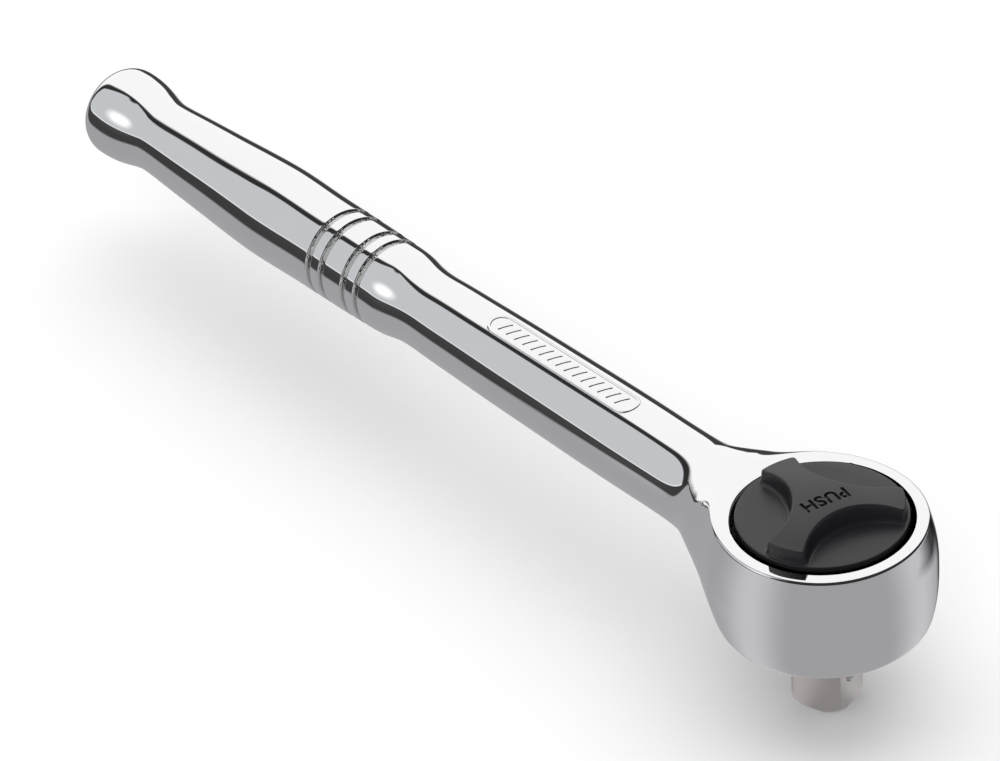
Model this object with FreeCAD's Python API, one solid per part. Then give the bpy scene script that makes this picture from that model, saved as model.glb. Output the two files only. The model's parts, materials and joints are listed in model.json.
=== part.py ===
import FreeCAD, Part
import math
import os

# Round-head reversible ratchet, 1/4 in square drive, sizes in millimetres.
# +Z runs up the drive axis with the dial on top, the handle runs along -X, and the origin is the
# centre of the square's tip face.  Angles are in degrees, anticlockwise seen from above.

# --- Square drive and its release ---------------------------------------------------------
SQUARE_AF = 6.35              # across the flats of the square
SQUARE_CHAMFER = 0.83         # flat on each corner of the square
SQUARE_LENGTH = 7.9
TIP_BEVEL = 0.7
COLLAR_R = 4.7                # round collar between the square and the head
COLLAR_LENGTH = 3.0
JOURNAL_R = 6.2               # bearing of the spindle in the head's floor
JOURNAL_PROUD = 0.2           # how far the journal stands below the head
BALL_HEIGHT = 4.4             # centre of the ball above the tip
BALL_PROUD = 0.6              # how far the ball stands out of its flat
CONE_LEAD = 0.558             # ball's centre above the start of the pin's cone
PIN_R = 1.15
PIN_WAIST_R = 0.45
PIN_END = 3.0                 # lower end of the release pin above the tip
PIN_BLIND = 1.2               # solid metal left under the pin's bore
PUSH_TRAVEL = 1.2
RELEASE_CHAMBER_R = 2.1
RELEASE_CHAMBER_FLOOR = 9.6
RELEASE_WIRE_R = 0.18
RELEASE_COIL_R = 1.64
RELEASE_TURNS = 5
CLIP_THICKNESS = 0.45
CLIP_MOUTH = 1.4              # width of the clip's opening over the pin's radius
CLIP_NOTCH_R = 0.3
CLIP_NOTCHES = (125.0, 235.0)

# --- Head -----------------------------------------------------------------------------------
RING_R = 11.75                # outer edge of the polished flat round the dial
BELLY_R = 12.84
BELLY_DROP = 5.7              # ring flat down to the widest place
HEAD_HEIGHT = 13.9
FOOT_R = 12.2                 # barrel radius just above the rounded lower edge
FOOT_ROUND = 1.5
UPPER_FULLNESS = 0.16         # of the barrel's curve between bevel and belly
LOWER_FULLNESS = 0.22         # of the barrel's curve between foot and belly
RIM_BEVEL = 0.25
BORE_R = 10.2
FLOOR = 2.8                   # metal under the mechanism
TOOTH_COUNT = 36
TOOTH_TIP_R = 9.15
TOOTH_DEPTH = 0.62
TOOTH_FLANK = 45.0
TOOTH_ROOT_HALF = 0.10        # half the flat at the bottom of a tooth space

# --- Handle, stations measured from the drive axis or from the far end ---------------------------
HANDLE_REACH = 132.8
HANDLE_DROP = 6.64            # ring flat down to the handle's axis
FLARE_END = 22.6
SHANK_R = 5.44
SHANK_LOW_R = 5.2             # shank radius where the last taper starts
WAIST_R = 4.97
WAIST_FROM_END = 63.0
COLLAR_BULGE_R = 5.6
COLLAR_FROM_END = 57.3
LAND_R = 5.76                 # grip radius between the grooves
SWELL_R = 6.02
SWELL_FROM_END = 34.6
TAIL_R = 4.81
TAIL_FROM_END = 11.0
BULB_R = 5.9
BULB_FROM_END = 3.1
GROOVES_FROM_END = (56.0, 53.65, 49.5, 47.1)
GROOVE_WIDTH = 0.85
GROOVE_DEPTH = 0.3
ROOT_INSET = 2.2              # handle radius inside the head, under the belly's
TAPER_SHARE = 0.75            # share of the shank before its last taper
TAPER_FULLNESS = 0.07
LAND_LEAD = 3.0               # first full radius of the grip after the collar
LAND_RISE = (1.5, 0.06)       # station and radius gained just after the last groove
TIP_ROUND = (0.32, 3.9)      # radius of the bulb this far before its end
# Shape round each named station: (distance towards the tail, radius added).
FLARE_RUN = ((-12.6, 4.06), (-9.0, 2.73), (-6.1, 1.4), (-3.6, 0.42), (0.0, 0.0))
WAIST_RUN = ((-5.0, 0.08), (0.0, 0.0), (2.6, 0.31))
SWELL_RUN = ((-5.0, -0.11), (0.0, 0.0), (6.5, -0.27))
TAIL_RUN = ((-8.3, 0.44), (-2.3, 0.08), (0.0, 0.0), (2.4, 0.26))
BULB_RUN = ((-3.5, -0.4), (-1.6, -0.09), (0.0, 0.0), (1.3, -0.15), (2.15, -0.72))

# --- Mechanism --------------------------------------------------------------------------------
DRIVE_REST = 18.3             # how far the square stands turned from the handle's line
SPINDLE_GAP = 0.15            # spindle disc to tooth tips
WASHER_THICKNESS = 0.25
LOWER_FLANGE = 1.0
PAWL_SLOT = 2.4
UPPER_FLANGE = 1.1
PAWL_PIVOT = 7.2              # pivot pin from the drive axis
PAWL_PIN_R = 0.9
PAWL_SWING = 9.0              # pawl angle each side of its middle
PAWL_TEETH = (35.0, 45.0, 55.0)
PAWL_END = 60.5               # angle at which each end of the engaged pawl stops
PAWL_WING_R = 5.7             # inside radius of the pawl's two wings
PAWL_BOSS_HALF = 2.7          # half width of the block round the pivot
PAWL_BOSS_GAP = 0.8           # from that block to the hub
PAWL_TIP_GAP = 0.15
PAWL_FLANK_GAP = 0.08
SELECTOR_SWING = 25.0         # selector angle each side of its middle
HUB_R = 3.2
HUB_HEX_AF = 5.4
HEX_GRIP = 1.1                # length of hexagon inside the dial before it is pushed
SELECTOR_FLANGE_R = 6.2
SELECTOR_FLANGE = 0.9
STOP_PIN_R = 0.5
STOP_PIN_AT = 4.6
PLUNGER_R = 0.75
PLUNGER_REACH = 5.2           # domed end from the drive axis
PLUNGER_LENGTH = 2.8
PLUNGER_TRAVEL = 0.6
PLUNGER_CUP_R = 0.52
PLUNGER_WIRE_R = 0.1
GASKET_THICKNESS = 0.3
COVER_THICKNESS = 1.0
CIRCLIP_THICKNESS = 0.7
CIRCLIP_INNER_R = 9.3
CIRCLIP_BITE = 0.65           # how far the circlip goes into its groove
CIRCLIP_GAP_HALF = 11.0       # angle from the middle of the opening to each end
EYE_BEYOND_GAP = 6.0
EYE_R = 0.95
EYE_HOLE_R = 0.45
SEAL_R = 0.3                  # section radius of the spindle seal
HUB_SEAL_R = 0.22
SEAL_ROOM = 1.15              # half width of a seal's groove over its section radius

# --- Dial -----------------------------------------------------------------------------------------
DIAL_REST = 51.0              # direction of one lobe
DIAL_R = 9.75
DIAL_PROUD = 0.5              # pocket floors above the ring flat
DIAL_THICKNESS = 1.8
LOBE_R = 9.3
LOBE_EDGE_RISE = 2.0          # lobe ends above the ring flat
LOBE_CROWN_RISE = 3.1         # middle of the dial above the ring flat
LOBE_COUNT = 3
POCKET_R = 8.2
POCKET_AT = 11.5              # centre of each scooped pocket from the axis
DIAL_BOSS_R = 4.6
INSERT_R = 3.75               # metal insert moulded into the dial
INSERT_STEM_R = 2.1           # its upper part, which grips the release pin
INSERT_STEM_LENGTH = 1.6
INSERT_WEB = 0.4

# --- Fits -------------------------------------------------------------------------------------------
RUNNING = 0.07                # radial, shaft in bearing
SLIDING = 0.10                # radial, plunger, pin and hub in their bores
FACE_GAP = 0.05               # between faces that turn past each other
FREE = 0.2                    # around anything that only has to stay clear
OVERLAP = 0.5                 # depth that joined cylinders run into each other

# --- Heights worked out from the sizes above -----------------------------------------------------
HEAD_BOTTOM = SQUARE_LENGTH + COLLAR_LENGTH + JOURNAL_PROUD
RING_Z = HEAD_BOTTOM + HEAD_HEIGHT
HANDLE_Z = RING_Z - HANDLE_DROP
CAVITY_FLOOR = HEAD_BOTTOM + FLOOR
DISC_BOTTOM = CAVITY_FLOOR + WASHER_THICKNESS + FACE_GAP
SLOT_BOTTOM = DISC_BOTTOM + LOWER_FLANGE
SLOT_TOP = SLOT_BOTTOM + PAWL_SLOT
DISC_TOP = SLOT_TOP + UPPER_FLANGE
FLANGE_BOTTOM = DISC_TOP + 2 * FACE_GAP
FLANGE_TOP = FLANGE_BOTTOM + SELECTOR_FLANGE
COVER_BOTTOM = FLANGE_TOP + FREE
COVER_TOP = COVER_BOTTOM + COVER_THICKNESS
SHOULDER = COVER_BOTTOM - GASKET_THICKNESS
CIRCLIP_BOTTOM = COVER_TOP + 2 * FACE_GAP
PLUNGER_Z = (SLOT_BOTTOM + SLOT_TOP) / 2
HUB_BOTTOM = SLOT_BOTTOM
HEX_BOTTOM = COVER_TOP + FREE
BOSS_BOTTOM = COVER_TOP + PUSH_TRAVEL + 1.5 * FREE
HEX_TOP = BOSS_BOTTOM + HEX_GRIP
SOCKET_TOP = HEX_TOP + PUSH_TRAVEL + 2 * FACE_GAP
DIAL_FACE = RING_Z + DIAL_PROUD
DIAL_BOTTOM = DIAL_FACE - DIAL_THICKNESS
STEM_BOTTOM = SOCKET_TOP + INSERT_WEB
PIN_TOP = STEM_BOTTOM + INSERT_STEM_LENGTH
CLIP_TOP = HUB_BOTTOM - 3 * FACE_GAP
CLIP_BOTTOM = CLIP_TOP - CLIP_THICKNESS
SPINDLE_SEAL_Z = (HEAD_BOTTOM + CAVITY_FLOOR) / 2
HUB_SEAL_Z = (COVER_BOTTOM + COVER_TOP) / 2

# --- Radii worked out from the sizes above ---------------------------------------------------------
TOOTH_ROOT_R = TOOTH_TIP_R + TOOTH_DEPTH
DISC_R = TOOTH_TIP_R - SPINDLE_GAP
HUB_BORE_R = HUB_R + SLIDING
PIN_BORE_R = PIN_R + SLIDING
PIN_GROOVE_R = 0.75 * PIN_R
BALL_PER_PUSH = BALL_PROUD / PUSH_TRAVEL
CONE_SLANT = math.hypot(1, BALL_PER_PUSH)
BALL_SEAT = 0.8 * FACE_GAP    # from the ball to the pin's cone
BALL_REACH = SQUARE_AF / 2 + BALL_PROUD
BALL_R = (BALL_REACH - PIN_R + BALL_PER_PUSH * CONE_LEAD - BALL_SEAT * CONE_SLANT) / (1 + CONE_SLANT)
BALL_AT = BALL_REACH - BALL_R
PAWL_BOSS_REACH = PAWL_PIVOT - HUB_R - PAWL_BOSS_GAP
PITCH = 360.0 / TOOTH_COUNT

UP = FreeCAD.Vector(0, 0, 1)
ORIGIN = FreeCAD.Vector(0, 0, 0)
PIVOT = FreeCAD.Vector(PAWL_PIVOT, 0, 0)


def vec(x, y, z=0.0):
    return FreeCAD.Vector(x, y, z)


def polar(radius, angle, z=0.0):
    return vec(radius * math.cos(math.radians(angle)), radius * math.sin(math.radians(angle)), z)


def turned(shape, angle, centre=ORIGIN, axis=UP):
    """A copy of the shape, turned about a line through centre."""
    copy = shape.copy()
    copy.rotate(centre, axis, angle)
    return copy


def rod(radius, bottom, top, centre=ORIGIN):
    return Part.makeCylinder(radius, top - bottom, vec(centre.x, centre.y, bottom))


def tube(inner, outer, bottom, top):
    return rod(outer, bottom, top).cut(rod(inner, bottom, top))


def prism(points, bottom, top):
    """Upright solid on a closed outline of straight sides."""
    corners = [vec(p.x, p.y, bottom) for p in points]
    outline = Part.makePolygon(corners + corners[:1])
    return Part.Face(outline).extrude(vec(0, 0, top - bottom))


def sector(outer, start, end, bottom, top):
    """Pie slice of a disc from one angle round to another."""
    slice_ = Part.makeCylinder(outer, top - bottom, vec(0, 0, bottom), UP, end - start)
    return turned(slice_, start)


def turned_solid(edges, centre=ORIGIN, axis=UP):
    """Solid of revolution of a closed outline made of edges."""
    return Part.Face(Part.Wire(edges)).revolve(centre, axis, 360)


def line(a, b):
    return Part.makeLine(a, b)


def arc(a, middle, b):
    return Part.Arc(a, middle, b).toShape()


def seal_groove(outer, section_radius, height):
    """What is cut away round a shaft for a seal of this section."""
    half = SEAL_ROOM * section_radius
    return tube(outer - 2 * section_radius, outer + 1, height - half, height + half)


def ring_seal(mean_radius, section_radius, height):
    return Part.makeTorus(mean_radius, section_radius, vec(0, 0, height))


def coil(mean_radius, wire_radius, bottom, top, turns):
    """Helical spring along Z, its wire kept between bottom and top."""
    rise = top - bottom - 2 * wire_radius
    path = Part.makeHelix(rise / turns, rise, mean_radius)
    section = Part.Wire(Part.Circle(vec(mean_radius, 0), vec(0, 1, 0), wire_radius).toShape())
    wire = Part.Wire(path.Edges).makePipeShell([section], True, True)
    wire.translate(vec(0, 0, bottom + wire_radius))
    return wire


# --- Head and handle --------------------------------------------------------------------------------
def head_barrel():
    """Barrel-shaped head, solid, with a rounded foot and a small bevel at the ring flat."""
    top_edge = vec(RING_R, 0, RING_Z)
    rim = vec(RING_R + RIM_BEVEL, 0, RING_Z - RIM_BEVEL)
    belly = vec(BELLY_R, 0, RING_Z - BELLY_DROP)
    foot = vec(FOOT_R, 0, HEAD_BOTTOM)
    upper = vec((rim.x + BELLY_R) / 2 + UPPER_FULLNESS * (BELLY_R - rim.x), 0, (rim.z + belly.z) / 2)
    lower = vec(BELLY_R - LOWER_FULLNESS * (BELLY_R - FOOT_R), 0, (foot.z + belly.z) / 2)
    centre_top = vec(0, 0, RING_Z)
    centre_bottom = vec(0, 0, HEAD_BOTTOM)
    barrel = turned_solid([line(centre_bottom, foot), arc(foot, lower, belly), arc(belly, upper, rim),
                           line(rim, top_edge), line(top_edge, centre_top),
                           line(centre_top, centre_bottom)])
    foot_edges = [e for e in barrel.Edges if e.BoundBox.ZMax < HEAD_BOTTOM + 0.01 and
                  e.BoundBox.XMax > FOOT_R - 0.01]
    return barrel.makeFillet(FOOT_ROUND, foot_edges)


def stations_round(station, radius, run):
    """Profile points round one named station of the handle."""
    return [(station + along, radius + added) for along, added in run]


def handle_stations():
    """(distance from the drive axis, radius) along the handle, root to tail."""
    end = HANDLE_REACH
    waist = end - WAIST_FROM_END
    collar = end - COLLAR_FROM_END
    taper = FLARE_END + TAPER_SHARE * (waist - FLARE_END)
    last_land = end - GROOVES_FROM_END[-1] + LAND_RISE[0]
    points = [(RING_R / 2, BELLY_R - ROOT_INSET)]
    points += stations_round(FLARE_END, SHANK_R, FLARE_RUN)
    points += [((FLARE_END + taper) / 2, (SHANK_R + SHANK_LOW_R) / 2 + TAPER_FULLNESS), (taper, SHANK_LOW_R)]
    points += stations_round(waist, WAIST_R, WAIST_RUN)
    points += [(collar, COLLAR_BULGE_R), (collar + LAND_LEAD, LAND_R), (last_land, LAND_R + LAND_RISE[1])]
    points += stations_round(end - SWELL_FROM_END, SWELL_R, SWELL_RUN)
    points += stations_round(end - TAIL_FROM_END, TAIL_R, TAIL_RUN)
    points += stations_round(end - BULB_FROM_END, BULB_R, BULB_RUN)
    return points + [(end - TIP_ROUND[0], TIP_ROUND[1]), (end, 0.0)]


def handle_bar():
    """Turned grip and shank, flaring at the root and trimmed to the head's height."""
    points = [vec(-s, 0, HANDLE_Z + r) for s, r in handle_stations()]
    curve = Part.BSplineCurve()
    curve.interpolate(Points=points, InitialTangent=vec(-1, 0, -0.3), FinalTangent=vec(0, 0, -1))
    root_axis = vec(points[0].x, 0, HANDLE_Z)
    bar = turned_solid([curve.toShape(), line(points[-1], root_axis), line(root_axis, points[0])],
                       vec(0, 0, HANDLE_Z), vec(1, 0, 0))
    for from_end in GROOVES_FROM_END:
        bar = bar.cut(groove_tool(HANDLE_REACH - from_end))
    slab = Part.makeBox(HANDLE_REACH + BELLY_R, 4 * BELLY_R, HEAD_HEIGHT - FOOT_ROUND,
                        vec(-HANDLE_REACH - 1, -2 * BELLY_R, HEAD_BOTTOM + FOOT_ROUND))
    return bar.common(slab)


def groove_tool(station):
    """Ring that cuts one narrow flat-bottomed groove round the grip."""
    start = vec(-station - GROOVE_WIDTH / 2, 0, HANDLE_Z)
    outer = Part.makeCylinder(2 * LAND_R, GROOVE_WIDTH, start, vec(1, 0, 0))
    core = Part.makeCylinder(LAND_R - GROOVE_DEPTH, GROOVE_WIDTH, start, vec(1, 0, 0))
    return outer.cut(core)


def tooth_ring_cavity():
    """Bore of the head with the tooth spaces, as the solid that is cut away."""
    tip_half = TOOTH_ROOT_HALF + TOOTH_DEPTH * math.tan(math.radians(TOOTH_FLANK))
    outline = []
    for index in range(TOOTH_COUNT):
        angle = DRIVE_REST + PITCH * (index + 0.5)
        for radius, half in ((TOOTH_TIP_R, -tip_half), (TOOTH_ROOT_R, -TOOTH_ROOT_HALF),
                             (TOOTH_ROOT_R, TOOTH_ROOT_HALF), (TOOTH_TIP_R, tip_half)):
            corner = vec(radius, half)
            outline.append(turned(Part.Vertex(corner), angle).Point)
    return prism(outline, CAVITY_FLOOR, SHOULDER)


def circlip_groove():
    return tube(BORE_R - FREE, BORE_R + CIRCLIP_BITE + FACE_GAP, CIRCLIP_BOTTOM - FACE_GAP,
                CIRCLIP_BOTTOM + CIRCLIP_THICKNESS + FACE_GAP)


def handle_body():
    """Forged head and handle in one, with the ring of teeth inside the head."""
    body = head_barrel().fuse(handle_bar())
    body = body.cut(rod(BORE_R, SHOULDER, RING_Z + 1))
    body = body.cut(circlip_groove())
    body = body.cut(tooth_ring_cavity())
    body = body.cut(rod(TOOTH_ROOT_R + FREE / 2, CAVITY_FLOOR, CAVITY_FLOOR + WASHER_THICKNESS))
    return body.cut(rod(JOURNAL_R + RUNNING, HEAD_BOTTOM - 1, CAVITY_FLOOR + 1)).removeSplitter()


def thrust_washer():
    return tube(JOURNAL_R + 1.5 * FREE, DISC_R - FREE, CAVITY_FLOOR, CAVITY_FLOOR + WASHER_THICKNESS)


def cover_gasket():
    return tube(TOOTH_TIP_R + SPINDLE_GAP, BORE_R - SLIDING, SHOULDER, COVER_BOTTOM)


def cover_plate():
    return tube(HUB_BORE_R, BORE_R - SLIDING, COVER_BOTTOM, COVER_TOP)


def cover_circlip():
    """Internal retaining ring with an opening and two drilled eyes."""
    bottom = CIRCLIP_BOTTOM
    top = bottom + CIRCLIP_THICKNESS
    ring = tube(CIRCLIP_INNER_R, BORE_R + CIRCLIP_BITE, bottom, top)
    ring = ring.cut(sector(BORE_R + 2, -CIRCLIP_GAP_HALF, CIRCLIP_GAP_HALF, bottom - 1, top + 1))
    for side in (-1, 1):
        centre = polar(CIRCLIP_INNER_R - SLIDING, side * (CIRCLIP_GAP_HALF + EYE_BEYOND_GAP))
        ring = ring.fuse(rod(EYE_R, bottom, top, centre)).cut(rod(EYE_HOLE_R, bottom, top, centre))
    return ring


# --- Spindle ------------------------------------------------------------------------------------------
def square_tang():
    """Square with flats on its corners and a bevelled tip."""
    half = SQUARE_AF / 2
    near = half - SQUARE_CHAMFER / math.sqrt(2)
    corners = [vec(half, -near), vec(half, near), vec(near, half), vec(-near, half),
               vec(-half, near), vec(-half, -near), vec(-near, -half), vec(near, -half)]
    tang = prism(corners, 0, SQUARE_LENGTH + TIP_BEVEL)
    corner_r = math.hypot(half, near)
    cone = Part.makeCone(corner_r - TIP_BEVEL, corner_r + SQUARE_LENGTH, SQUARE_LENGTH + TIP_BEVEL)
    return tang.common(cone)


def pawl_sweep_corner(radius, angle):
    """A corner of the engaged pawl after the full swing to the other side."""
    end = turned(Part.Vertex(polar(radius, angle)), 2 * PAWL_SWING, PIVOT)
    return end.Point


def pawl_pocket():
    """Space in the spindle that the pawl rocks in, with the window for the plunger."""
    boss_corner = turned(Part.Vertex(PIVOT - vec(PAWL_BOSS_REACH, PAWL_BOSS_HALF)), -PAWL_SWING, PIVOT).Point
    wing_corner = pawl_sweep_corner(PAWL_WING_R, PAWL_END)
    inner = min(boss_corner.Length, wing_corner.Length) - FREE
    tip_corner = pawl_sweep_corner(DISC_R, PAWL_END)
    far_angle = max(math.degrees(math.atan2(c.y, c.x)) for c in (tip_corner, wing_corner))
    half = max(far_angle, PAWL_END) + math.degrees(FREE / inner)
    pocket = sector(DISC_R + 1, -half, half, SLOT_BOTTOM, SLOT_TOP).cut(rod(inner, SLOT_BOTTOM, SLOT_TOP))
    window_half = SELECTOR_SWING + math.degrees(math.asin(PLUNGER_R / HUB_R)) + math.degrees(FREE / HUB_R)
    return pocket.fuse(sector(inner + FREE, -window_half, window_half, SLOT_BOTTOM, SLOT_TOP))


def ball_hole():
    """Cross hole for the ball, closed in at the flat so that the ball can't fall out."""
    face = SQUARE_AF / 2
    radius = BALL_R + RUNNING
    mouth = math.sqrt(BALL_R ** 2 - (face - BALL_AT) ** 2) + RUNNING
    x_axis = vec(1, 0, 0)
    straight = BALL_AT + RUNNING
    bore = Part.makeCylinder(radius, straight, vec(0, 0, BALL_HEIGHT), x_axis)
    lip = Part.makeCone(radius, mouth, face - straight, vec(straight, 0, BALL_HEIGHT), x_axis)
    return bore.fuse(lip)


def spindle():
    """Square drive, journal and pawl carrier in one piece."""
    body = square_tang().fuse(rod(COLLAR_R, SQUARE_LENGTH, SQUARE_LENGTH + COLLAR_LENGTH + OVERLAP))
    body = body.fuse(rod(JOURNAL_R, SQUARE_LENGTH + COLLAR_LENGTH, DISC_BOTTOM + OVERLAP))
    body = body.fuse(rod(DISC_R, DISC_BOTTOM, DISC_TOP))
    body = body.cut(pawl_pocket())
    body = body.cut(rod(HUB_BORE_R, HUB_BOTTOM - SLIDING, DISC_TOP + 1))
    body = body.cut(rod(RELEASE_CHAMBER_R, RELEASE_CHAMBER_FLOOR, HUB_BOTTOM))
    body = body.cut(rod(PIN_BORE_R, PIN_BLIND, RELEASE_CHAMBER_FLOOR + 1))
    body = body.cut(ball_hole())
    body = body.cut(rod(PAWL_PIN_R, DISC_BOTTOM + SLIDING, DISC_TOP + 1, PIVOT))
    body = body.cut(rod(STOP_PIN_R, SLOT_BOTTOM, DISC_TOP + 1, vec(-STOP_PIN_AT, 0)))
    return body.cut(seal_groove(JOURNAL_R, SEAL_R, SPINDLE_SEAL_Z)).removeSplitter()


def spindle_seal():
    return ring_seal(JOURNAL_R - SEAL_R + FACE_GAP / 2, SEAL_R, SPINDLE_SEAL_Z)


def pawl_pin():
    return rod(PAWL_PIN_R, DISC_BOTTOM + SLIDING, DISC_TOP - SLIDING, PIVOT)


def selector_stop_pin():
    return rod(STOP_PIN_R, SLOT_BOTTOM, FLANGE_TOP - FACE_GAP, vec(-STOP_PIN_AT, 0))


def detent_ball():
    return Part.makeSphere(BALL_R, vec(BALL_AT, 0, BALL_HEIGHT))


# --- Pawl ---------------------------------------------------------------------------------------------
def pawl_tooth(angle, bottom, top):
    """One tooth that fills a tooth space of the ring, less its clearance, at the given angle."""
    slope = math.tan(math.radians(TOOTH_FLANK))
    tip = TOOTH_ROOT_R - PAWL_TIP_GAP
    base = DISC_R - 2 * SPINDLE_GAP
    tip_half = TOOTH_ROOT_HALF + PAWL_TIP_GAP * slope - PAWL_FLANK_GAP / math.cos(math.radians(TOOTH_FLANK))
    base_half = tip_half + (tip - base) * slope
    corners = [vec(base, -base_half), vec(tip, -tip_half), vec(tip, tip_half), vec(base, base_half)]
    return turned(prism(corners, bottom, top), angle)


def pawl_half(bottom, top):
    """Wing of the pawl on the positive side, in the position where its teeth are in the ring."""
    wing = sector(DISC_R - SPINDLE_GAP, 0, PAWL_END, bottom, top).cut(rod(PAWL_WING_R, bottom, top))
    for angle in PAWL_TEETH:
        wing = wing.fuse(pawl_tooth(angle, bottom, top))
    return turned(wing, PAWL_SWING, PIVOT)


def plunger_cradle(bottom, top):
    """Round hollow in the pawl's back that the plunger's end sweeps as both of them turn."""
    ends = []
    for side in (-1, 0, 1):
        tip = Part.Vertex(polar(PLUNGER_REACH, side * SELECTOR_SWING))
        ends.append(turned(tip, side * PAWL_SWING, PIVOT).Point)
    circle = Part.Circle(ends[0], ends[1], ends[2])
    return rod(circle.Radius + FACE_GAP, bottom, top, circle.Center)


def pawl():
    """Double-ended rocking pawl, turned so that its positive wing is engaged."""
    bottom = SLOT_BOTTOM + FACE_GAP
    top = SLOT_TOP - FACE_GAP
    half = pawl_half(bottom, top)
    body = half.fuse(half.mirror(ORIGIN, vec(0, 1, 0)))
    block = Part.makeBox(PAWL_BOSS_REACH + PAWL_PIN_R, 2 * PAWL_BOSS_HALF, top - bottom,
                         vec(PAWL_PIVOT - PAWL_BOSS_REACH, -PAWL_BOSS_HALF, bottom))
    body = body.fuse(block)
    body = body.common(rod(DISC_R, bottom, top, PIVOT - polar(PAWL_PIVOT, PAWL_SWING)).fuse(half))
    body = body.cut(plunger_cradle(bottom, top))
    body = body.cut(rod(PAWL_PIN_R + RUNNING, bottom, top, PIVOT)).removeSplitter()
    return turned(body, -PAWL_SWING, PIVOT)


# --- Selector, plunger and release pin -----------------------------------------------------------------
def hexagon(across_flats, bottom, top):
    corner = across_flats / 2 / math.cos(math.pi / 6)
    return prism([polar(corner, 60 * k + 30) for k in range(6)], bottom, top)


def radial_bore(radius, start, length):
    return Part.makeCylinder(radius, length, vec(start, 0, PLUNGER_Z), vec(1, 0, 0))


def plunger_seat():
    """Bottom of the plunger's bore, clear of the plunger when it is pushed right in."""
    return PLUNGER_REACH - PLUNGER_LENGTH - PLUNGER_TRAVEL - FACE_GAP


def selector_hub():
    """Reversing shaft: a round hub with a stop flange, and a hexagon for the dial on top."""
    hub = rod(HUB_R, HUB_BOTTOM, HEX_BOTTOM).fuse(rod(SELECTOR_FLANGE_R, FLANGE_BOTTOM, FLANGE_TOP))
    hub = hub.fuse(hexagon(HUB_HEX_AF, HEX_BOTTOM, HEX_TOP))
    hub = hub.cut(rod(PIN_BORE_R, HUB_BOTTOM - 1, HEX_TOP + 1))
    hub = hub.cut(radial_bore(PLUNGER_R + SLIDING, plunger_seat(), HUB_R))
    slot_r = STOP_PIN_R + SLIDING
    sweep = 2 * SELECTOR_SWING
    first = 180.0 - SELECTOR_SWING
    slot = sector(STOP_PIN_AT + slot_r, first, first + sweep, FLANGE_BOTTOM, FLANGE_TOP)
    slot = slot.cut(rod(STOP_PIN_AT - slot_r, FLANGE_BOTTOM, FLANGE_TOP))
    for angle in (first, first + sweep):
        slot = slot.fuse(rod(slot_r, FLANGE_BOTTOM, FLANGE_TOP, polar(STOP_PIN_AT, angle)))
    return hub.cut(slot).cut(seal_groove(HUB_R, HUB_SEAL_R, HUB_SEAL_Z)).removeSplitter()


def selector_seal():
    return ring_seal(HUB_R - HUB_SEAL_R + FACE_GAP, HUB_SEAL_R, HUB_SEAL_Z)


def pawl_plunger():
    """Domed plunger with a cup at its back for the spring."""
    straight = PLUNGER_LENGTH - PLUNGER_R
    start = PLUNGER_REACH - PLUNGER_LENGTH
    body = radial_bore(PLUNGER_R, start, straight)
    dome = Part.makeSphere(PLUNGER_R, vec(PLUNGER_REACH - PLUNGER_R, 0, PLUNGER_Z))
    cup = radial_bore(PLUNGER_CUP_R, start, PLUNGER_LENGTH / 2)
    return body.fuse(dome).cut(cup).removeSplitter()


def pawl_spring():
    """Plunger spring, drawn at the length it has with the plunger pushed right in."""
    length = PLUNGER_LENGTH / 2
    spring = coil(PLUNGER_CUP_R - PLUNGER_WIRE_R - FACE_GAP, PLUNGER_WIRE_R, 0, length, 5)
    spring.rotate(ORIGIN, vec(0, 1, 0), 90)
    spring.translate(vec(plunger_seat(), 0, PLUNGER_Z))
    return spring


def release_pin():
    """Rod from the dial to the ball, with a cone and a waist that the ball drops into."""
    cone_start = BALL_HEIGHT - CONE_LEAD
    cone_end = cone_start + (PIN_R - PIN_WAIST_R) / BALL_PER_PUSH
    waist_end = BALL_HEIGHT + BALL_R + PUSH_TRAVEL + FREE
    shape = [vec(0, 0, PIN_END), vec(PIN_R, 0, PIN_END), vec(PIN_R, 0, cone_start),
             vec(PIN_WAIST_R, 0, cone_end), vec(PIN_WAIST_R, 0, waist_end),
             vec(PIN_R, 0, waist_end + PIN_R - PIN_WAIST_R), vec(PIN_R, 0, PIN_TOP), vec(0, 0, PIN_TOP)]
    edges = [line(a, b) for a, b in zip(shape, shape[1:] + shape[:1])]
    pin = turned_solid(edges)
    return pin.cut(tube(PIN_GROOVE_R, PIN_R + 1, CLIP_BOTTOM, CLIP_TOP))


def release_clip():
    """E-clip in the pin's groove: it carries the spring and stops the pin under the hub."""
    outer = RELEASE_CHAMBER_R - 0.75 * FREE
    clip = tube(PIN_GROOVE_R, outer, CLIP_BOTTOM, CLIP_TOP)
    mouth = CLIP_MOUTH * PIN_R
    clip = clip.cut(Part.makeBox(outer, mouth, CLIP_THICKNESS, vec(0, -mouth / 2, CLIP_BOTTOM)))
    for angle in CLIP_NOTCHES:
        clip = clip.cut(rod(CLIP_NOTCH_R, CLIP_BOTTOM, CLIP_TOP, polar(PIN_GROOVE_R + SLIDING, angle)))
    return clip


def release_spring():
    return coil(RELEASE_COIL_R, RELEASE_WIRE_R, RELEASE_CHAMBER_FLOOR, CLIP_BOTTOM, RELEASE_TURNS)


# --- Dial ---------------------------------------------------------------------------------------------
def dial_insert_blank():
    """Outside of the insert, which is also the space for it in the dial."""
    return rod(INSERT_R, BOSS_BOTTOM, STEM_BOTTOM).fuse(rod(INSERT_STEM_R, STEM_BOTTOM, PIN_TOP))


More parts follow.
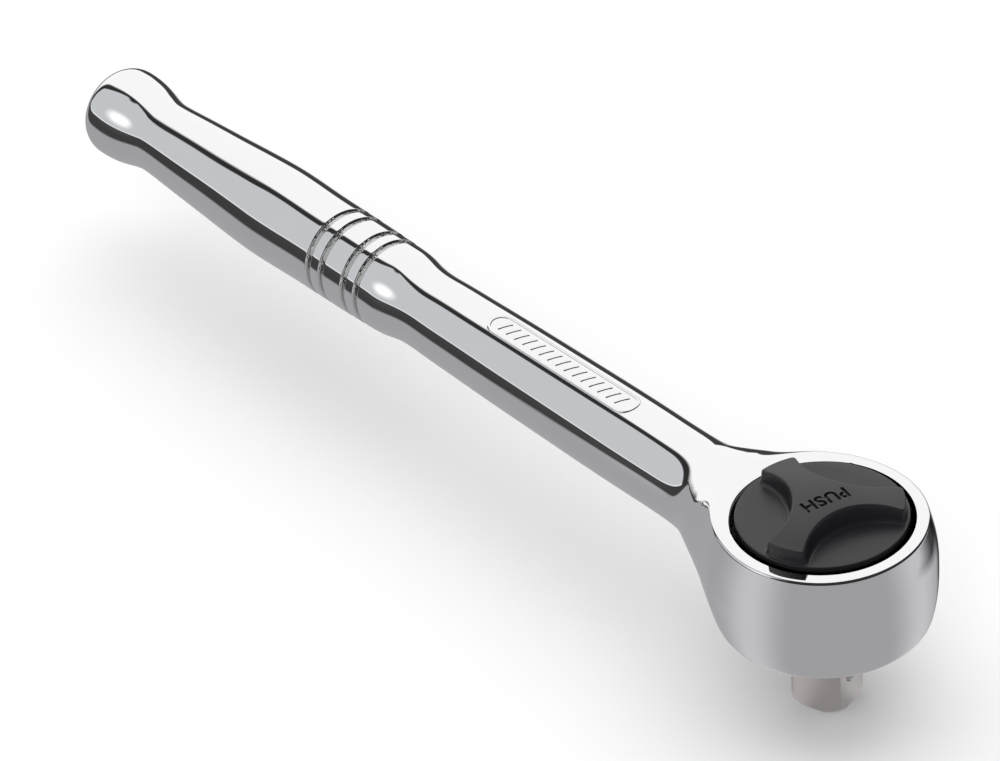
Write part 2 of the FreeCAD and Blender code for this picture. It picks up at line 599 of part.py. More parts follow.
def dial_insert():
    """Steel insert with the hexagon socket below and the pin's bore above."""
    insert = dial_insert_blank().cut(hexagon(HUB_HEX_AF + 2 * SLIDING, BOSS_BOTTOM, SOCKET_TOP))
    return insert.cut(rod(PIN_R, BOSS_BOTTOM, PIN_TOP)).removeSplitter()


def reversing_dial():
    """Round push dial with three raised lobes between scooped pockets."""
    edge_z = RING_Z + LOBE_EDGE_RISE
    crown_z = RING_Z + LOBE_CROWN_RISE
    drop = crown_z - edge_z
    sphere_r = (LOBE_R ** 2 + drop ** 2) / (2 * drop)
    half = LOBE_R / 2
    half_z = crown_z - sphere_r + math.sqrt(sphere_r ** 2 - half ** 2)
    base = vec(0, 0, DIAL_FACE)
    foot = vec(LOBE_R, 0, DIAL_FACE)
    edge = vec(LOBE_R, 0, edge_z)
    crown = vec(0, 0, crown_z)
    lobes = turned_solid([line(base, foot), line(foot, edge), arc(edge, vec(half, 0, half_z), crown),
                          line(crown, base)])
    for index in range(LOBE_COUNT):
        angle = 360.0 * (index + 0.5) / LOBE_COUNT
        lobes = lobes.cut(rod(POCKET_R, DIAL_FACE, crown_z + 1, polar(POCKET_AT, angle)))
    dial = rod(DIAL_R, DIAL_BOTTOM, DIAL_FACE).fuse(lobes)
    dial = dial.fuse(rod(DIAL_BOSS_R, BOSS_BOTTOM, DIAL_BOTTOM))
    return turned(dial.cut(dial_insert_blank()).removeSplitter(), DIAL_REST)


def build():
    """Every piece in its place at rest, with the pawl and selector set one way."""
    turns_with_spindle = {
        "spindle": spindle(), "spindle_seal": spindle_seal(), "pawl_pin": pawl_pin(),
        "selector_stop_pin": selector_stop_pin(), "detent_ball": detent_ball(), "pawl": pawl()}
    turns_with_selector = {
        "selector_hub": selector_hub(), "selector_seal": selector_seal(), "pawl_plunger": pawl_plunger(),
        "pawl_spring": pawl_spring(), "release_clip": release_clip(), "release_spring": release_spring(),
        "dial_insert": dial_insert()}
    pieces = {
        "handle_body": handle_body(), "thrust_washer": thrust_washer(), "cover_gasket": cover_gasket(),
        "cover_plate": cover_plate(), "cover_circlip": cover_circlip(), "release_pin": release_pin(),
        "reversing_dial": reversing_dial()}
    for name, shape in turns_with_spindle.items():
        pieces[name] = turned(shape, DRIVE_REST)
    for name, shape in turns_with_selector.items():
        pieces[name] = turned(shape, DRIVE_REST + SELECTOR_SWING)
    return pieces


os.makedirs("parts", exist_ok=True)
for node, solid in build().items():
    if solid.ShapeType == "Compound" and len(solid.Solids) == 1:
        solid = solid.Solids[0]
    print(node, "solids", len(solid.Solids), "valid", solid.isValid(), "volume %.2f" % solid.Volume)
    solid.exportStep("parts/" + node + ".step")
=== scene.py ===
"""Round-head ratchet wrench with a square drive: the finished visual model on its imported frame.

Sizes in the classes below are in millimetres in the row frame: +Z runs up the drive axis, the
handle runs along -X and the origin is the middle of the square's tip.  They become metres when a
mesh is made.  Angles are in degrees, anticlockwise seen from above.
"""
import json
import logging
import math
from dataclasses import dataclass
from enum import Enum
from typing import Sequence

import bmesh
import bpy
import numpy as np
from mathutils import Matrix, Vector


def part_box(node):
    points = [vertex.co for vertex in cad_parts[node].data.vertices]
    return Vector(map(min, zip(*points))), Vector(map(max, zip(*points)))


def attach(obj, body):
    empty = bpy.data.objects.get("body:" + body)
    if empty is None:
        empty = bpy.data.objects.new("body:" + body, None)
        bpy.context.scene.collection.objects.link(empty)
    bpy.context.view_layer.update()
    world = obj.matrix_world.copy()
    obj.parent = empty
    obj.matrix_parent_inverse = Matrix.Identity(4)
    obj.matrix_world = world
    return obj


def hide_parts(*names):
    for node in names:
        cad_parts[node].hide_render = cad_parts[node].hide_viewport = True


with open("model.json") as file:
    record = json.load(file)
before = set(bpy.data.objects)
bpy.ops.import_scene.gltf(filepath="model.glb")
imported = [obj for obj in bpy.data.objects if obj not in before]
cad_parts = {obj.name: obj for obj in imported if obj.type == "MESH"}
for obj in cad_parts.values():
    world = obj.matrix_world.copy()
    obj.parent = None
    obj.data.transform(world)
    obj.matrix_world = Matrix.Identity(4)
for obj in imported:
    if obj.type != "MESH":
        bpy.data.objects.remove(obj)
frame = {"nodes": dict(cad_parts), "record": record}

LOG = logging.getLogger("ratchet")
MM = 0.001
MERGE = 0.0002
SHARP_ANGLE = 38.0


# --- Points, grids and meshes ---------------------------------------------------------------------
def corners_mm(node: str) -> tuple[np.ndarray, np.ndarray]:
    """Lowest and highest corner of a CAD node at rest, in millimetres.

    Args:
        node: name of the CAD node.

    Returns:
        The two corners as arrays of three numbers.
    """
    low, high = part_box(node)
    return np.array(low) / MM, np.array(high) / MM


def grid_quads(rows: int, columns: int, wrap: bool = False) -> np.ndarray:
    """Quads between neighbouring rows and columns of a grid numbered row by row.

    Args:
        rows: number of rows of points.
        columns: number of points in each row.
        wrap: True if the last column joins the first.

    Returns:
        An (n, 4) array of point numbers.
    """
    index = np.arange(rows * columns).reshape(rows, columns)
    if wrap:
        index = np.hstack([index, index[:, :1]])
    quads = np.stack([index[:-1, :-1], index[:-1, 1:], index[1:, 1:], index[1:, :-1]], axis=-1)
    return quads.reshape(-1, 4)


def ring_rows(radii: Sequence[float], heights: Sequence[float], directions: np.ndarray) -> np.ndarray:
    """Rows of points where a profile (r, z) is carried round the drive axis.

    Row i, column j is (r_i cos a_j, r_i sin a_j, z_i).

    Args:
        radii: r of each profile point.
        heights: z of each profile point.
        directions: (m, 2) unit vectors (cos a_j, sin a_j).

    Returns:
        A (rows, m, 3) array.
    """
    radius = np.asarray(radii, dtype=float)[:, None]
    flat = np.broadcast_to(np.asarray(heights, dtype=float)[:, None], (len(radii), len(directions)))
    return np.stack([radius * directions[:, 0], radius * directions[:, 1], flat], axis=-1)


def unit_circle(count: int, start: float = 0.0) -> np.ndarray:
    """Unit vectors evenly spread over a full turn, the first at the start angle."""
    angle = np.radians(start) + np.linspace(0.0, 2 * np.pi, count, endpoint=False)
    return np.stack([np.cos(angle), np.sin(angle)], axis=-1)


def quarter_round(count: int) -> tuple[np.ndarray, np.ndarray]:
    """Sine and one-minus-cosine over a quarter turn, for rounding an edge.

    Args:
        count: number of points, both ends included.

    Returns:
        Two arrays that both rise from 0 to 1.
    """
    angle = np.linspace(0.0, np.pi / 2, count)
    return np.sin(angle), 1 - np.cos(angle)


def mesh_object(name: str, sheets: Sequence[tuple[np.ndarray, np.ndarray]],
                unit: float = MM) -> bpy.types.Object:
    """One closed, outward-facing mesh object from sheets of points in millimetres.

    The sheets' shared borders are merged, collapsed faces go, and the normals are worked out again.

    Args:
        name: name of the object.
        sheets: (points, quads) of each sheet; points have shape (n, 3).
        unit: size of a millimetre in the mesh; 1 only for a blank that is cut at a larger scale.

    Returns:
        The object, linked to the scene, its place in its mesh.
    """
    points, faces, offset = [], [], 0
    for sheet_points, sheet_faces in sheets:
        points.append(sheet_points)
        faces.append(sheet_faces + offset)
        offset += len(sheet_points)
    mesh = bpy.data.meshes.new(name)
    mesh.from_pydata((np.vstack(points) * unit).tolist(), [], np.vstack(faces).tolist())
    close_seams(mesh, MERGE * unit)
    return placed_object(name, mesh)


def close_seams(mesh: bpy.types.Mesh, distance: float) -> None:
    """Merges the points of a mesh that lie this close, then turns every face outwards."""
    shell = bmesh.new()
    shell.from_mesh(mesh)
    bmesh.ops.remove_doubles(shell, verts=shell.verts, dist=distance)
    bmesh.ops.recalc_face_normals(shell, faces=shell.faces)
    shell.to_mesh(mesh)
    shell.free()


def placed_object(name: str, mesh: bpy.types.Mesh) -> bpy.types.Object:
    """An object at the origin with this mesh, smooth but for its sharp edges."""
    mesh.polygons.foreach_set("use_smooth", np.ones(len(mesh.polygons), dtype=bool))
    mesh.set_sharp_from_angle(angle=math.radians(SHARP_ANGLE))
    mesh.update()
    item = bpy.data.objects.new(name, mesh)
    bpy.context.scene.collection.objects.link(item)
    return item


def flattened(grid: np.ndarray) -> np.ndarray:
    """A grid of points as one list of points."""
    return grid.reshape(-1, 3)


def vertices_mm(mesh: bpy.types.Mesh) -> np.ndarray:
    """The mesh's vertices as an (n, 3) array in millimetres."""
    flat = np.empty(len(mesh.vertices) * 3)
    mesh.vertices.foreach_get("co", flat)
    return flat.reshape(-1, 3) / MM


def paint(mesh: bpy.types.Mesh, name: str, values: np.ndarray) -> None:
    """Writes one number per vertex as a named attribute of the mesh."""
    layer = mesh.attributes.new(name, "FLOAT", "POINT")
    layer.data.foreach_set("value", values.astype(np.float32))


def smooth_step(value: np.ndarray, low: float, high: float) -> np.ndarray:
    """t*t*(3 - 2t), where t runs from 0 at low to 1 at high and stops there."""
    part = np.clip((value - low) / (high - low), 0.0, 1.0)
    return part * part * (3 - 2 * part)


class NaturalSpline:
    """Cubic curve through knots with continuous curvature and no bend at its two ends."""

    def __init__(self, knots: np.ndarray, values: np.ndarray) -> None:
        """Solves h(i-1) m(i-1) + 2 (h(i-1) + h(i)) m(i) + h(i) m(i+1) = 6 (jump of slope) for m.

        Args:
            knots: rising parameter of each point.
            values: (n, k) coordinates of each point.
        """
        gap = np.diff(knots)
        slope = np.diff(values, axis=0) / gap[:, None]
        system = np.eye(len(knots))
        inner = np.arange(1, len(knots) - 1)
        system[inner, inner - 1] = gap[:-1]
        system[inner, inner] = 2 * (gap[:-1] + gap[1:])
        system[inner, inner + 1] = gap[1:]
        jump = np.zeros_like(values)
        jump[1:-1] = 6 * np.diff(slope, axis=0)
        self.knots, self.values, self.gap = knots, values, gap
        self.bend = np.linalg.solve(system, jump)

    def __call__(self, parameter: np.ndarray) -> np.ndarray:
        """Points of the curve at these parameters, shape (n, k)."""
        part = np.clip(np.searchsorted(self.knots, parameter) - 1, 0, len(self.gap) - 1)
        gap = self.gap[part][:, None]
        right = (parameter[:, None] - self.knots[part][:, None]) / gap
        left = 1 - right
        sag = ((left ** 3 - left) * self.bend[part] + (right ** 3 - right) * self.bend[part + 1])
        return left * self.values[part] + right * self.values[part + 1] + sag * gap ** 2 / 6


# --- Shader node groups shared by the finishes ----------------------------------------------------
class Wires:
    """Short way of adding nodes to a tree and joining them."""

    def __init__(self, tree: bpy.types.NodeTree) -> None:
        """Keeps the tree that the nodes go into."""
        self.tree = tree

    def add(self, kind: str, **settings: object) -> bpy.types.Node:
        """A new node of this type with these properties set."""
        node = self.tree.nodes.new(kind)
        for name, value in settings.items():
            setattr(node, name, value)
        return node

    def join(self, start: bpy.types.NodeSocket, end: bpy.types.NodeSocket) -> None:
        """Links an output to an input."""
        self.tree.links.new(start, end)

    def noise(self, place: bpy.types.NodeSocket, scale: float, detail: float = 2.0) -> bpy.types.NodeSocket:
        """Output of a noise texture of this scale (features per metre) read at a place."""
        node = self.add("ShaderNodeTexNoise")
        node.inputs["Scale"].default_value = scale
        node.inputs["Detail"].default_value = detail
        self.join(place, node.inputs["Vector"])
        return node.outputs["Fac"]

    def maths(self, operation: str, first: object, second: object) -> bpy.types.NodeSocket:
        """Output of a maths node; each input is a socket or a number."""
        node = self.add("ShaderNodeMath", operation=operation)
        for socket, value in zip(node.inputs, (first, second)):
            if isinstance(value, bpy.types.NodeSocket):
                self.join(value, socket)
            else:
                socket.default_value = value
        return node.outputs[0]

    def stretch(self, value: bpy.types.NodeSocket, source: tuple[float, float],
                target: tuple[float, float]) -> bpy.types.NodeSocket:
        """The value carried from one range to another and held at its ends."""
        node = self.add("ShaderNodeMapRange")
        node.clamp = True
        for name, number in zip(("From Min", "From Max", "To Min", "To Max"), source + target):
            node.inputs[name].default_value = number
        self.join(value, node.inputs["Value"])
        return node.outputs["Result"]


def new_group(name: str, inputs: dict[str, float], outputs: Sequence[str]) -> bpy.types.NodeTree:
    """A shader node group with number inputs, a Place vector input and number outputs.

    Args:
        name: name of the group.
        inputs: number inputs with their usual values.
        outputs: names of the number outputs.

    Returns:
        The group's tree, with its input and output nodes in place.
    """
    group = bpy.data.node_groups.new(name, "ShaderNodeTree")
    group.interface.new_socket("Place", in_out="INPUT", socket_type="NodeSocketVector")
    for label, value in inputs.items():
        socket = group.interface.new_socket(label, in_out="INPUT", socket_type="NodeSocketFloat")
        socket.default_value = value
    for label in outputs:
        group.interface.new_socket(label, in_out="OUTPUT", socket_type="NodeSocketFloat")
    group.nodes.new("NodeGroupInput")
    group.nodes.new("NodeGroupOutput")
    return group


def grain_group() -> bpy.types.NodeTree:
    """Fine grain: Height is noise at Scale, and Mask is a slow noise that varies the finish.

    Returns:
        The group, with inputs Place, Scale and Drift and outputs Height and Mask.
    """
    group = new_group("surface_grain", {"Scale": 4000.0, "Drift": 60.0}, ("Height", "Mask"))
    wires = Wires(group)
    source, sink = group.nodes["Group Input"], group.nodes["Group Output"]
    for label, scale, detail in (("Height", "Scale", 3.0), ("Mask", "Drift", 4.0)):
        noise = wires.add("ShaderNodeTexNoise")
        noise.inputs["Detail"].default_value = detail
        wires.join(source.outputs["Place"], noise.inputs["Vector"])
        wires.join(source.outputs[scale], noise.inputs["Scale"])
        wires.join(noise.outputs["Fac"], sink.inputs[label])
    return group


def turning_group() -> bpy.types.NodeTree:
    """Turning marks: waves along Z at Scale, broken up by noise, as a lathe leaves them.

    Returns:
        The group, with inputs Place, Scale and Breakup and output Height.
    """
    group = new_group("turning_marks", {"Scale": 900.0, "Breakup": 3.0}, ("Height",))
    wires = Wires(group)
    source, sink = group.nodes["Group Input"], group.nodes["Group Output"]
    wave = wires.add("ShaderNodeTexWave", wave_type="BANDS", bands_direction="Z")
    wires.join(source.outputs["Place"], wave.inputs["Vector"])
    wires.join(source.outputs["Scale"], wave.inputs["Scale"])
    wires.join(source.outputs["Breakup"], wave.inputs["Distortion"])
    wires.join(wave.outputs["Fac"], sink.inputs["Height"])
    return group


def dust_group() -> bpy.types.NodeTree:
    """Light soiling: patches of noise, stronger in the middle of their range.

    Returns:
        The group, with inputs Place, Scale and Amount and output Mask.
    """
    group = new_group("light_soiling", {"Scale": 180.0, "Amount": 0.1}, ("Mask",))
    wires = Wires(group)
    source, sink = group.nodes["Group Input"], group.nodes["Group Output"]
    noise = wires.add("ShaderNodeTexNoise")
    noise.inputs["Detail"].default_value = 5.0
    wires.join(source.outputs["Place"], noise.inputs["Vector"])
    wires.join(source.outputs["Scale"], noise.inputs["Scale"])
    patch = wires.stretch(noise.outputs["Fac"], (0.45, 0.75), (0.0, 1.0))
    wires.join(wires.maths("MULTIPLY", patch, source.outputs["Amount"]), sink.inputs["Mask"])
    return group


class Effects:
    """The shared node groups, built once."""

    def __init__(self) -> None:
        """Builds the groups."""
        self.grain = grain_group()
        self.turning = turning_group()
        self.soiling = dust_group()


# --- Finishes -------------------------------------------------------------------------------------
@dataclass
class Groundwork:
    """A material being made, with the sockets that later steps join to."""

    material: bpy.types.Material
    wires: Wires
    shader: bpy.types.Node
    place: bpy.types.NodeSocket
    height: bpy.types.NodeSocket

    def bump(self, height: bpy.types.NodeSocket) -> None:
        """Turns a height in metres into the shader's normal."""
        node = self.wires.add("ShaderNodeBump")
        node.inputs["Distance"].default_value = 1.0
        self.wires.join(height, node.inputs["Height"])
        self.wires.join(node.outputs["Normal"], self.shader.inputs["Normal"])


@dataclass(frozen=True)
class Finish:
    """A metal, rubber or plastic surface with grain, drift in gloss and light soiling."""

    name: str
    colour: tuple[float, float, float]
    metallic: float
    roughness: float
    roughness_drift: float = 0.02
    grain_scale: float = 4000.0
    grain_height: float = 0.0
    soiling: float = 0.08
    soil_colour: tuple[float, float, float] = (0.10, 0.09, 0.08)
    turning_scale: float = 0.0
    turning_height: float = 0.0

    def base(self, effects: Effects) -> Groundwork:
        """The material with its colour and gloss wired, and its relief still to be used.

        Args:
            effects: the shared node groups.

        Returns:
            The material with the sockets that the rest of the finish needs.
        """
        material = bpy.data.materials.new(self.name)
        material.use_nodes = True
        wires = Wires(material.node_tree)
        shader = material.node_tree.nodes["Principled BSDF"]
        shader.inputs["Metallic"].default_value = self.metallic
        place = wires.add("ShaderNodeTexCoord").outputs["Object"]
        grain = wires.add("ShaderNodeGroup", node_tree=effects.grain)
        grain.inputs["Scale"].default_value = self.grain_scale
        wires.join(place, grain.inputs["Place"])
        soil = wires.add("ShaderNodeGroup", node_tree=effects.soiling)
        soil.inputs["Amount"].default_value = self.soiling
        wires.join(place, soil.inputs["Place"])
        mix = wires.add("ShaderNodeMix", data_type="RGBA")
        mix.inputs["A"].default_value = (*self.colour, 1.0)
        mix.inputs["B"].default_value = (*self.soil_colour, 1.0)
        wires.join(soil.outputs["Mask"], mix.inputs["Factor"])
        wires.join(mix.outputs["Result"], shader.inputs["Base Color"])
        gloss = wires.stretch(grain.outputs["Mask"], (0.3, 0.7),
                              (max(self.roughness - self.roughness_drift, 0.0),
                               self.roughness + self.roughness_drift))
        wires.join(gloss, shader.inputs["Roughness"])
        height = wires.maths("MULTIPLY", grain.outputs["Height"], self.grain_height * MM)
        if self.turning_scale:
            marks = wires.add("ShaderNodeGroup", node_tree=effects.turning)
            marks.inputs["Scale"].default_value = self.turning_scale
            wires.join(place, marks.inputs["Place"])
            cut = wires.maths("MULTIPLY", marks.outputs["Height"], self.turning_height * MM)
            height = wires.maths("ADD", height, cut)
        return Groundwork(material, wires, shader, place, height)

    def build(self, effects: Effects) -> bpy.types.Material:
        """The finished material."""
        ground = self.base(effects)
        ground.bump(ground.height)
        return ground.material


@dataclass(frozen=True)
class PolishedChrome(Finish):
    """Mirror plate: slightly wavy as polished forgings are, and pitted in the grip's grooves."""

    wave_scale: float = 75.0
    wave_height: float = 0.010
    pit_scale: float = 2600.0
    pit_height: float = 0.07
    pit_colour: tuple[float, float, float] = (0.52, 0.51, 0.50)

    def build(self, effects: Effects) -> bpy.types.Material:
        """Adds the waves and, where the groove attribute is 1, the pits and their darker colour."""
        ground = self.base(effects)
        wires, shader, place = ground.wires, ground.shader, ground.place
        mask = wires.add("ShaderNodeAttribute", attribute_name="groove").outputs["Fac"]
        wave = wires.maths("MULTIPLY", wires.noise(place, self.wave_scale, 0.0), self.wave_height * MM)
        pits = wires.maths("MULTIPLY", wires.noise(place, self.pit_scale, 1.0), mask)
        pits = wires.maths("MULTIPLY", pits, self.pit_height * MM)
        ground.bump(wires.maths("ADD", wave, pits))
        plain = shader.inputs["Base Color"].links[0].from_socket
        mix = wires.add("ShaderNodeMix", data_type="RGBA")
        mix.inputs["B"].default_value = (*self.pit_colour, 1.0)
        wires.join(mask, mix.inputs["Factor"])
        wires.join(plain, mix.inputs["A"])
        wires.join(mix.outputs["Result"], shader.inputs["Base Color"])
        return ground.material


class Slot(Enum):
    """The record's material slots, each with the finish that it gets."""

    CHROME = PolishedChrome("polished_chrome", (0.80, 0.80, 0.81), 1.0, 0.035, 0.010, soiling=0.015)
    DRIVE = Finish("plated_drive_steel", (0.60, 0.565, 0.54), 1.0, 0.24, 0.04, 5200.0, 0.0016,
                   turning_scale=420.0, turning_height=0.0006)
    HARD = Finish("hardened_steel", (0.52, 0.51, 0.50), 1.0, 0.22, 0.05, 3000.0, 0.0015)
    BLACK = Finish("blackened_steel", (0.075, 0.075, 0.08), 0.7, 0.42, 0.06, 3600.0, 0.003)
    SPRING = Finish("spring_steel", (0.60, 0.58, 0.55), 1.0, 0.20, 0.04, 5000.0, 0.001)
    RUBBER = Finish("seal_rubber", (0.020, 0.020, 0.021), 0.0, 0.62, 0.06, 4200.0, 0.004,
                    soil_colour=(0.12, 0.11, 0.10))
    FIBRE = Finish("gasket_fibre", (0.21, 0.16, 0.11), 0.0, 0.85, 0.05, 2600.0, 0.010)
    DIAL = Finish("dial_plastic", (0.012, 0.011, 0.013), 0.0, 0.36, 0.05, 5200.0, 0.010, soiling=0.05,
                  soil_colour=(0.10, 0.09, 0.10))


class Palette:
    """One material for each slot, given to the CAD nodes that stay and to the new pieces."""

    def __init__(self) -> None:
        """Builds every slot's material."""
        effects = Effects()
        self.materials = {slot: slot.value.build(effects) for slot in Slot}

    def of_name(self, name: str) -> bpy.types.Material:
        """The material of the slot with this name in the record."""
        return next(self.materials[slot] for slot in Slot if slot.value.name == name)

    def dress_frame(self) -> None:
        """Gives every CAD node its slot's material."""
        for part in frame["record"]["subparts"]:
            node = frame["nodes"][part["node"]]
            material = self.of_name(part["material_slot"])
            for holder in node.material_slots:
                holder.material = material
            if not node.material_slots:
                node.data.materials.append(material)

    def finish(self, piece: bpy.types.Object, slot: Slot, body: str, replaced: Sequence[str] = ()) -> None:
        """Dresses a new piece, puts it on its body and hides the CAD nodes that it stands for.

        Args:
            piece: the new object.
            slot: its material slot.
            body: the CAD body that it moves with.
            replaced: the CAD nodes that it stands for.
        """
        piece.data.materials.clear()
        piece.data.materials.append(self.materials[slot])
        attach(piece, body)
        if replaced:
            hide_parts(*replaced)
        LOG.info("%s: %d faces on %s", piece.name, len(piece.data.polygons), body)


# --- Head and handle ------------------------------------------------------------------------------
@dataclass
class Forging:
    """Head and handle in one: a barrel and a turned bar blended, cut by the ring flat."""

    ring_z: float
    foot_z: float
    tail_x: float
    axis_drop: float = 6.64
    belly_r: float = 12.825
    belly_drop: float = 5.9
    upper_curve: tuple[float, float] = (0.0244, 2.14)
    lower_curve: tuple[float, float] = (0.0036, 2.7)
    lip: tuple[float, float] = (0.14, 1.0)
    lip_round: float = 0.25
    neck_round: float = 2.4
    neck_fade: tuple[float, float] = (9.0, 14.5)
    neck_leave: tuple[float, float] = (15.5, 23.0)
    foot_round: float = 1.3
    blend: float = 1.1
    bevel_r: float = 10.45
    bore_r: float = 10.2
    shank_r: float = 5.44
    keel: float = 0.35
    root_fade: tuple[float, float] = (7.0, 0.08)
    cast_until: float = 24.0
    grooves_from_end: tuple[float, ...] = (56.0, 53.65, 49.5, 47.1)
    groove_width: float = 0.85
    groove_depth: float = 0.3
    groove_round: float = 0.07
    cavity: tuple[tuple[float, float], ...] = ((10.2, -0.25), (10.2, -3.2), (10.9, -3.25), (10.9, -4.05),
                                               (10.2, -4.1), (10.2, -5.4), (9.95, -5.4), (9.95, -11.1),
                                               (6.27, -11.1), (6.27, -13.75), (6.45, -13.9))

    def __post_init__(self) -> None:
        """Works out the profile curve along the handle, as radius against distance."""
        self.reach = -self.tail_x
        self.axis_z = self.ring_z - self.axis_drop
        stations = np.array(self.stations())
        chord = np.hypot(*np.diff(stations, axis=0).T)
        knots = np.concatenate([[0.0], np.cumsum(chord)])
        fine = NaturalSpline(knots, stations)(np.linspace(0.0, knots[-1], 9000))
        self.profile = fine
        self.travel = np.concatenate([[0.0], np.cumsum(np.hypot(*np.diff(fine, axis=0).T))])

    def stations(self) -> list[tuple[float, float]]:
        """(distance from the drive axis, radius) of the handle, from inside the head to its end."""
        end = self.reach
        return [(5.9, 10.64), (10.0, 9.50), (13.6, 8.17), (16.5, 6.82), (18.2, 6.06), (20.0, 5.62),
                (22.6, self.shank_r), (30.0, 5.44), (46.0, 5.36), (56.0, 5.24), (62.0, 5.12),
                (end - 66.7, 5.03), (end - 63.0, 4.97), (end - 61.0, 5.15), (end - 59.0, 5.49),
                (end - 56.7, 5.64), (end - 51.7, 5.76), (end - 45.7, 5.82), (end - 41.6, 5.86),
                (end - 36.7, 5.98), (end - 34.6, 6.00), (end - 31.6, 5.93), (end - 23.4, 5.48),
                (end - 15.3, 5.03), (end - 12.1, 4.84), (end - 10.8, 4.81), (end - 8.7, 5.03),
                (end - 6.6, 5.50), (end - 4.7, 5.81), (end - 3.1, 5.90), (end - 1.8, 5.75),
                (end - 0.95, 5.18), (end - 0.32, 3.9), (end - 0.06, 2.0), (end, 0.0)]

    def bar_radius(self, distance: np.ndarray) -> np.ndarray:
        """Radius of the bar at a distance from the drive axis."""
        return np.interp(distance, self.profile[:, 0], self.profile[:, 1])

    def barrel_radius(self, drop: np.ndarray) -> np.ndarray:
        """Radius of the barrel at a depth below the ring flat.

        R - k |d - d0| ** n above and below the belly at depth d0, plus a small lip that fades with
        depth.
        """
        above = np.maximum(self.belly_drop - drop, 0.0)
        below = np.maximum(drop - self.belly_drop, 0.0)
        lip = self.lip[0] * np.exp(-np.maximum(drop, 0.0) / self.lip[1])
        upper = self.upper_curve[0] * above ** self.upper_curve[1]
        lower = self.lower_curve[0] * below ** self.lower_curve[1]
        return self.belly_r - upper - lower + lip

    def outside(self, points: np.ndarray) -> np.ndarray:
        """Rough distance outside the forging, negative inside.

        The barrel's and the bar's distances meet as -k log(exp(-a/k) + exp(-b/k)), and the ring flat
        and the foot cut that with rounded edges: hypot(max(a + r, 0), max(b + r, 0)) - r.
        """
        x, y, z = points[..., 0], points[..., 1], points[..., 2]
        drop = self.ring_z - z
        barrel = np.hypot(x, y) - self.barrel_radius(drop)
        along = -x
        side = self.bar_radius(along)
        below = np.minimum(side, self.shank_r) + self.keel * np.maximum(side - self.shank_r, 0.0)
        rise = z - self.axis_z
        upright = np.where(rise > 0, side, below)
        bar = (np.hypot(y / side, rise / upright) - 1) * np.minimum(side, upright)
        bar = bar + self.root_fade[1] * np.maximum(self.root_fade[0] - along, 0.0) ** 2
        body = -self.blend * np.logaddexp(-barrel / self.blend, -bar / self.blend)
        neck = smooth_step(along, *self.neck_fade) - smooth_step(along, *self.neck_leave)
        edge = self.lip_round + (self.neck_round - self.lip_round) * neck
        body = rounded_cut(body, -drop, edge)
        return rounded_cut(body, self.foot_z - z, self.foot_round)

    def edge_height(self, origins: np.ndarray, sides: np.ndarray) -> np.ndarray:
        """Where the ring flat's uncut edge lies sideways of each rib's origin, found by halving."""
        near = np.zeros(len(origins))
        far = np.full(len(origins), 16.0)
        for _ in range(30):
            middle = (near + far) / 2
            point = origins + sides * middle[:, None]
            point = np.stack([point[:, 0], point[:, 1], np.full(len(point), self.ring_z - 0.02)], axis=-1)
            x, y = point[:, 0], point[:, 1]
            side = self.bar_radius(-x)
            bar = np.where(-x > 0, np.hypot(y, self.axis_drop) - side, 9.0)
            barrel = np.hypot(x, y) - self.barrel_radius(np.zeros(len(x)))
            inside = np.minimum(bar, barrel) < 0
            near = np.where(inside, middle, near)
            far = np.where(inside, far, middle)
        return near

    def rib_places(self) -> tuple[np.ndarray, np.ndarray]:
        """Origin (x, y) and sideways direction of every rib of the head and root.

        The front ribs fan round the drive axis; the others stand in planes across the handle, at
        s = R sin(angle) as far as the back of the bore, then evenly.
        """
        fan = np.radians(np.linspace(0.0, 90.0, 64))
        fan_side = np.stack([np.cos(fan), np.sin(fan)], axis=-1)
        back = self.bevel_r * np.sin(np.radians(np.linspace(0.0, 90.0, 62)))[1:]
        root = np.linspace(self.bevel_r, self.cast_until, 92)[1:]
        across = np.concatenate([back, root])
        origins = np.concatenate([np.zeros((len(fan), 2)), np.stack([-across, 0 * across], axis=-1)])
        sides = np.concatenate([fan_side, np.tile([0.0, 1.0], (len(across), 1))])
        return origins, sides

    def bar_stations(self) -> np.ndarray:
        """Profile points (distance, radius) from the end of the cast ribs to the tail.

        They are evenly spaced along the curve, with extra ones at each groove's edges and floor.
        """
        start = np.interp(self.cast_until, self.profile[:, 0], self.travel)
        even = np.linspace(start, self.travel[-1], 300)[1:]
        points = np.stack([np.interp(even, self.travel, self.profile[:, k]) for k in (0, 1)], axis=-1)
        half = self.groove_width / 2
        steps = np.array([half + 0.12, half + 0.06, half + 0.03, half, half - 0.03, half - 0.06,
                          half - 0.12, 0.15])
        steps = np.concatenate([-steps, steps[::-1]])
        for from_end in self.grooves_from_end:
            centre = self.reach - from_end
            points = points[np.abs(points[:, 0] - centre) > half + 0.2]
            extra = centre + steps
            points = np.vstack([points, np.stack([extra, self.bar_radius(extra)], axis=-1)])
        points = points[np.argsort(points[:, 0], kind="stable")]
        points[:, 1] -= self.groove_depth * self.groove_share(points[:, 0])
        return points

    def groove_share(self, along: np.ndarray) -> np.ndarray:
        """1 on a groove's floor, 0 on the lands, with a smooth step at each edge."""
        share = np.zeros_like(along)
        for from_end in self.grooves_from_end:
            away = np.abs(along - (self.reach - from_end)) - self.groove_width / 2
            share = np.maximum(share, 1 - smooth_step(away, -self.groove_round, self.groove_round))
        return share

